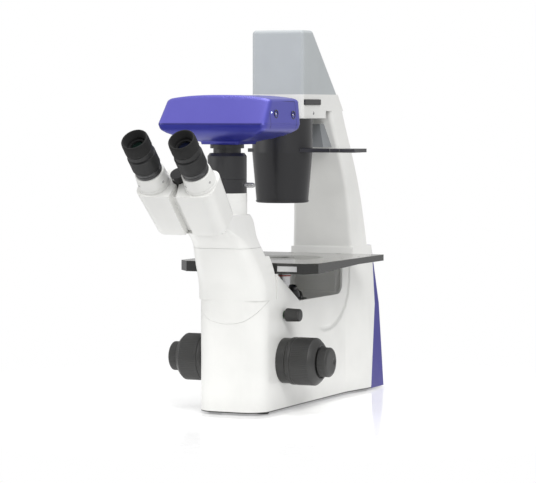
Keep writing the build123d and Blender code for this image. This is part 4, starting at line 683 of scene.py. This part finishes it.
# Camera on the adapter
HALF_FRONT = 77.0
HALF_REAR = 80.0
HALF_DEEP = 55.0
REAR_Y = -116.0
BELT_TO_TOP = 37.0
FRONT_LEAN = 24.0 / (2 * HALF_DEEP)
END_LEAN = 3.0 / HALF_FRONT
CROWN = 6.0
EDGE_LOW = 412.5                 # the straight sides end here
EDGE_ROUND = 4.5
BOWL = [(353.2, 0.0, 0.0), (353.2, 0.35, 0.49), (356.5, 0.36, 0.5), (358.0, 0.45, 0.56), (360.5, 0.6, 0.67),
        (364.0, 0.75, 0.79), (368.0, 0.88, 0.9), (371.5, 0.955, 0.96), (374.0, 0.98, 0.98)]
PORTS = ((-190.0, 392.5), (-140.0, 391.0))
LAMP_AT = (-203.0, 394.5)
PORT_RIM = [(0, 5.6), (0.5, 5.5), (0.7, 5.1), (0.7, 4.3), (-4.0, 4.1), (-4.0, 0)]
PORT_CORE = [(0, 0), (0, 1.3), (2.2, 1.3), (2.2, 0)]
PORT_CORE_IN = 1.8
READY_LAMP = [(0, 0.001), (0, 1.1), (0.5, 0.9), (0.6, 0.001)]


def camera_form():
    """Level outlines P(i, j) = (s_i x_j, t_i y_j, z_i) of a trapezium with round corners: straight sides
    from the belt up, with the front and the ends leaning in evenly with h, the height over the belt as a
    share; under the belt a low chamfer, then a shallow bowl down to the ring on the adapter; the top is
    closed by shrunken outlines and crowned by crown |x / half width|^2.5 h."""
    corners = [(0, -HALF_DEEP), (HALF_FRONT, -HALF_DEEP), (HALF_REAR, HALF_DEEP),
               (-HALF_REAR, HALF_DEEP), (-HALF_FRONT, -HALF_DEEP), (0, -HALF_DEEP)]
    outline = smooth(corners, 9.0, 2.0)[:-1]
    levels = BOWL + [(z, 1.0, 1.0) for z in np.linspace(BELT - 1.0, EDGE_LOW, 18)]
    for turn in np.linspace(0.2, math.pi / 2, 8):
        share = 1.0 - 0.055 * (1 - math.cos(turn))
        levels.append((EDGE_LOW + EDGE_ROUND * math.sin(turn), share, share))
    levels += [(EDGE_LOW + EDGE_ROUND, s, s) for s in (0.85, 0.65, 0.4, 0.2, 0.0)]
    z, wide, painted_shade_blue = np.array(levels).T[..., None] * np.ones(len(outline))
    x, y = wide * outline[:, 0], painted_shade_blue * outline[:, 1]
    high = np.clip((z - BELT) / BELT_TO_TOP, 0, 1)
    x = x * (1 - END_LEAN * high)
    y = REAR_Y - (HALF_DEEP - y) * (1 - FRONT_LEAN * high)
    return np.stack([x, y, z - CROWN * np.abs(x / HALF_FRONT) ** 2.5 * high], -1)


def on_end(y, z):
    """The point of the camera's right end at depth y and height z."""
    high = (z - BELT) / BELT_TO_TOP
    taper = (HALF_REAR - HALF_FRONT) / (2 * HALF_DEEP)
    x = (HALF_REAR - taper * (REAR_Y - y) / (1 - FRONT_LEAN * high)) * (1 - END_LEAN * high)
    return np.array([x, y, z])


port_rims = []
port_cores = []
for port in PORTS:
    port_rims.append(lathe(on_end(*port), TO_RIGHT, rounded(PORT_RIM, 0.2), 64))
    port_cores.append(lathe(on_end(*port) - TO_RIGHT * PORT_CORE_IN, TO_RIGHT, PORT_CORE, 32))
piece("camera_body", [camera_form()], camera_blue, "camera", "camera_blue", "camera_shell")
piece("port_rims", port_rims, black, "camera", "black_enamel", "camera_ports")
piece("port_cores", port_cores, steel, "camera", "bare_aluminium")
ready_lamp = lathe(on_end(*LAMP_AT), TO_RIGHT, READY_LAMP, 24)
piece("ready_lamp", [ready_lamp], lamp_glow(), "camera", "camera_blue")


# Small fittings
TICK_TURNS = np.radians(np.arange(-70, 71, 14))
TICK_DOWN = 71.5
TICK_OUT = 9.5
TICK_HALF = (0.25, 1.4, 0.12)
ticks = []
for turn in TICK_TURNS:
    ray = OFF_TUBE * math.sin(turn) - TO_RIGHT * math.cos(turn)
    across = np.cross(DOWN_TUBE, ray)
    place = HINGE + DOWN_TUBE * TICK_DOWN + ray * TICK_OUT
    ticks.append(slab(place, (across, DOWN_TUBE, ray), TICK_HALF, 8, 7, 16))
piece("hinge_scale_ticks", ticks, paint, "stand", "white_paint")

LIP_Y = -15.8
LIP_LEVELS = (388.7, 416.1)
LIP_HALF = (23.5, 1.15, 2.6)
ARM_SCREW_AT = (38.3, 17.5, 393.0)
ARM_SCREW_HEAD = (2.2, 0.5)
lips = [slab((0.0, LIP_Y, z), (TO_RIGHT, AWAY, UP), LIP_HALF, 60, 41, 80) for z in LIP_LEVELS]
piece("arm_lips", lips, paint, "stand", "white_paint")
piece("arm_screw", [screw(ARM_SCREW_AT, TO_RIGHT, *ARM_SCREW_HEAD)], steel, "stand", "steel")

DIM_START = 51.5
DIM_ROD_START = 32.0
DIM_ROD_LENGTH = 20.0
DIM_GRIP = [(0, 0), (0, 8.7), (0.8, 9.0), (2.5, 8.9), (18.4, 8.3), (19.5, 7.6), (20.0, 6.0), (20.0, 0)]
POINTER_START = 61.5
POINTER_UP = 8.5
POINTER_HALF = (0.35, 7.0, 0.3)
dim_grip = lathe(DIMMER + TO_RIGHT * DIM_START, TO_RIGHT, smooth(DIM_GRIP, 0.8, 1.0), 216,
                 flutes(36, 0.25, 3.0, 18.6))
dim_rod = rod(DIMMER + TO_RIGHT * DIM_ROD_START, DIM_ROD_LENGTH, ROD_RADIUS, 32)
piece("brightness_grip", [dim_grip, dim_rod], knob, "brightness", "grey_knob", "brightness_knob")
pointer_at = DIMMER + TO_RIGHT * POINTER_START + UP * POINTER_UP
pointer = slab(pointer_at, (AWAY, TO_RIGHT, -UP), POINTER_HALF, 8, 7, 16)
piece("brightness_pointer", [pointer], paint, "brightness", "white_paint")

FEET = [(x, y, 0.0) for x in (-34.0, 34.0) for y in (-140.0, 198.0)]
FOOT = [(0.0, 0), (0.0, 8.0), (0.8, 9.0), (4.4, 9.0), (4.4, 0)]
feet = [lathe(place, UP, smooth(FOOT, 0.5, 1.0), 48) for place in FEET]
piece("feet", feet, rubber, "stand", "rubber", "rubber_feet")


# Floor, light and the photo's camera
FLOOR_HALF = 6.0
FLOOR_FADE = (330.0, 620.0)
EYE_AT = (1437.36, -3198.98 + SHIFT, 401.38)
AZIMUTH = math.radians(24.5147)
ELEVATION = math.radians(2.9842)
FILM = 36.0
FOCAL_LENGTH = 173.22


def floor_material():
    """Glossy white that fades out round the object."""
    net = Net("floor_white", Roughness=0.12, Specular_IOR_Level=0.7, Emission_Strength=0.3,
              Emission_Color=(1.0, 1.0, 1.0))
    net.put("Alpha", 1.0 - net.from_axis().step(*FLOOR_FADE))
    return net.put("Base Color", net.mix(net.noise(3, 2.0), srgb(248, 248, 248), srgb(245, 245, 245)))


def placed(name, data, location=(0.0, 0.0, 0.0), rotation=(0.0, 0.0, 0.0)):
    """A new object in the scene."""
    made = bpy.data.objects.new(name, data)
    bpy.context.collection.objects.link(made)
    made.location = location
    made.rotation_euler = rotation
    return made


def floor():
    """A level square under the feet."""
    corners = [(-FLOOR_HALF, -FLOOR_HALF, 0), (FLOOR_HALF, -FLOOR_HALF, 0),
               (FLOOR_HALF, FLOOR_HALF, 0), (-FLOOR_HALF, FLOOR_HALF, 0)]
    mesh = bpy.data.meshes.new("floor")
    mesh.from_pydata(corners, [], [(0, 1, 2, 3)])
    mesh.materials.append(floor_material().material)
    return placed("floor", mesh)


def area_light(name, place, target, size, power):
    """A square white light that faces its target; places in metres, power in watts."""
    lamp = bpy.data.lights.new(name, "AREA")
    lamp.shape = "SQUARE"
    lamp.size = size
    lamp.energy = power
    x, y, z = np.array(target) - np.array(place)
    return placed(name, lamp, place, (math.atan2(math.hypot(x, y), -z), 0, math.atan2(-x, y)))


def camera():
    """The photo's viewpoint, solved from the object's straight edges and circles."""
    view = bpy.data.cameras.new("camera")
    view.sensor_width = FILM
    view.lens = FOCAL_LENGTH
    view.clip_end = 50.0
    place = [c * MM for c in EYE_AT]
    bpy.context.scene.camera = placed("camera", view, place, (math.pi / 2 - ELEVATION, 0, AZIMUTH))


def world():
    """White to the camera and through glass, softer as light."""
    sky = bpy.data.worlds.new("studio")
    sky.use_nodes = True
    tree = sky.node_tree
    ground = next(n for n in tree.nodes if n.type == "BACKGROUND")
    out = next(n for n in tree.nodes if n.type == "OUTPUT_WORLD")
    seen = tree.nodes.new("ShaderNodeBackground")
    for background, strength in ((ground, 0.55), (seen, 1.0)):
        background.inputs["Color"].default_value = (1, 1, 1, 1)
        background.inputs["Strength"].default_value = strength
    path = tree.nodes.new("ShaderNodeLightPath")
    top = tree.nodes.new("ShaderNodeMath")
    top.operation = "MAXIMUM"
    blend = tree.nodes.new("ShaderNodeMixShader")
    tree.links.new(path.outputs["Is Camera Ray"], top.inputs[0])
    tree.links.new(path.outputs["Is Transmission Ray"], top.inputs[1])
    tree.links.new(top.outputs[0], blend.inputs[0])
    tree.links.new(ground.outputs[0], blend.inputs[1])
    tree.links.new(seen.outputs[0], blend.inputs[2])
    tree.links.new(blend.outputs[0], out.inputs["Surface"])
    bpy.context.scene.world = sky


floor()
area_light("key", (1.6, -1.8, 1.9), (0.0, 0.0, 0.2), 1.4, 42)
area_light("fill", (-2.2, -1.2, 1.2), (0.0, 0.0, 0.2), 1.6, 22)
area_light("top", (0.0, 0.3, 2.4), (0.0, 0.0, 0.1), 1.6, 26)
camera()
world()
bpy.context.scene.view_settings.view_transform = "Standard"
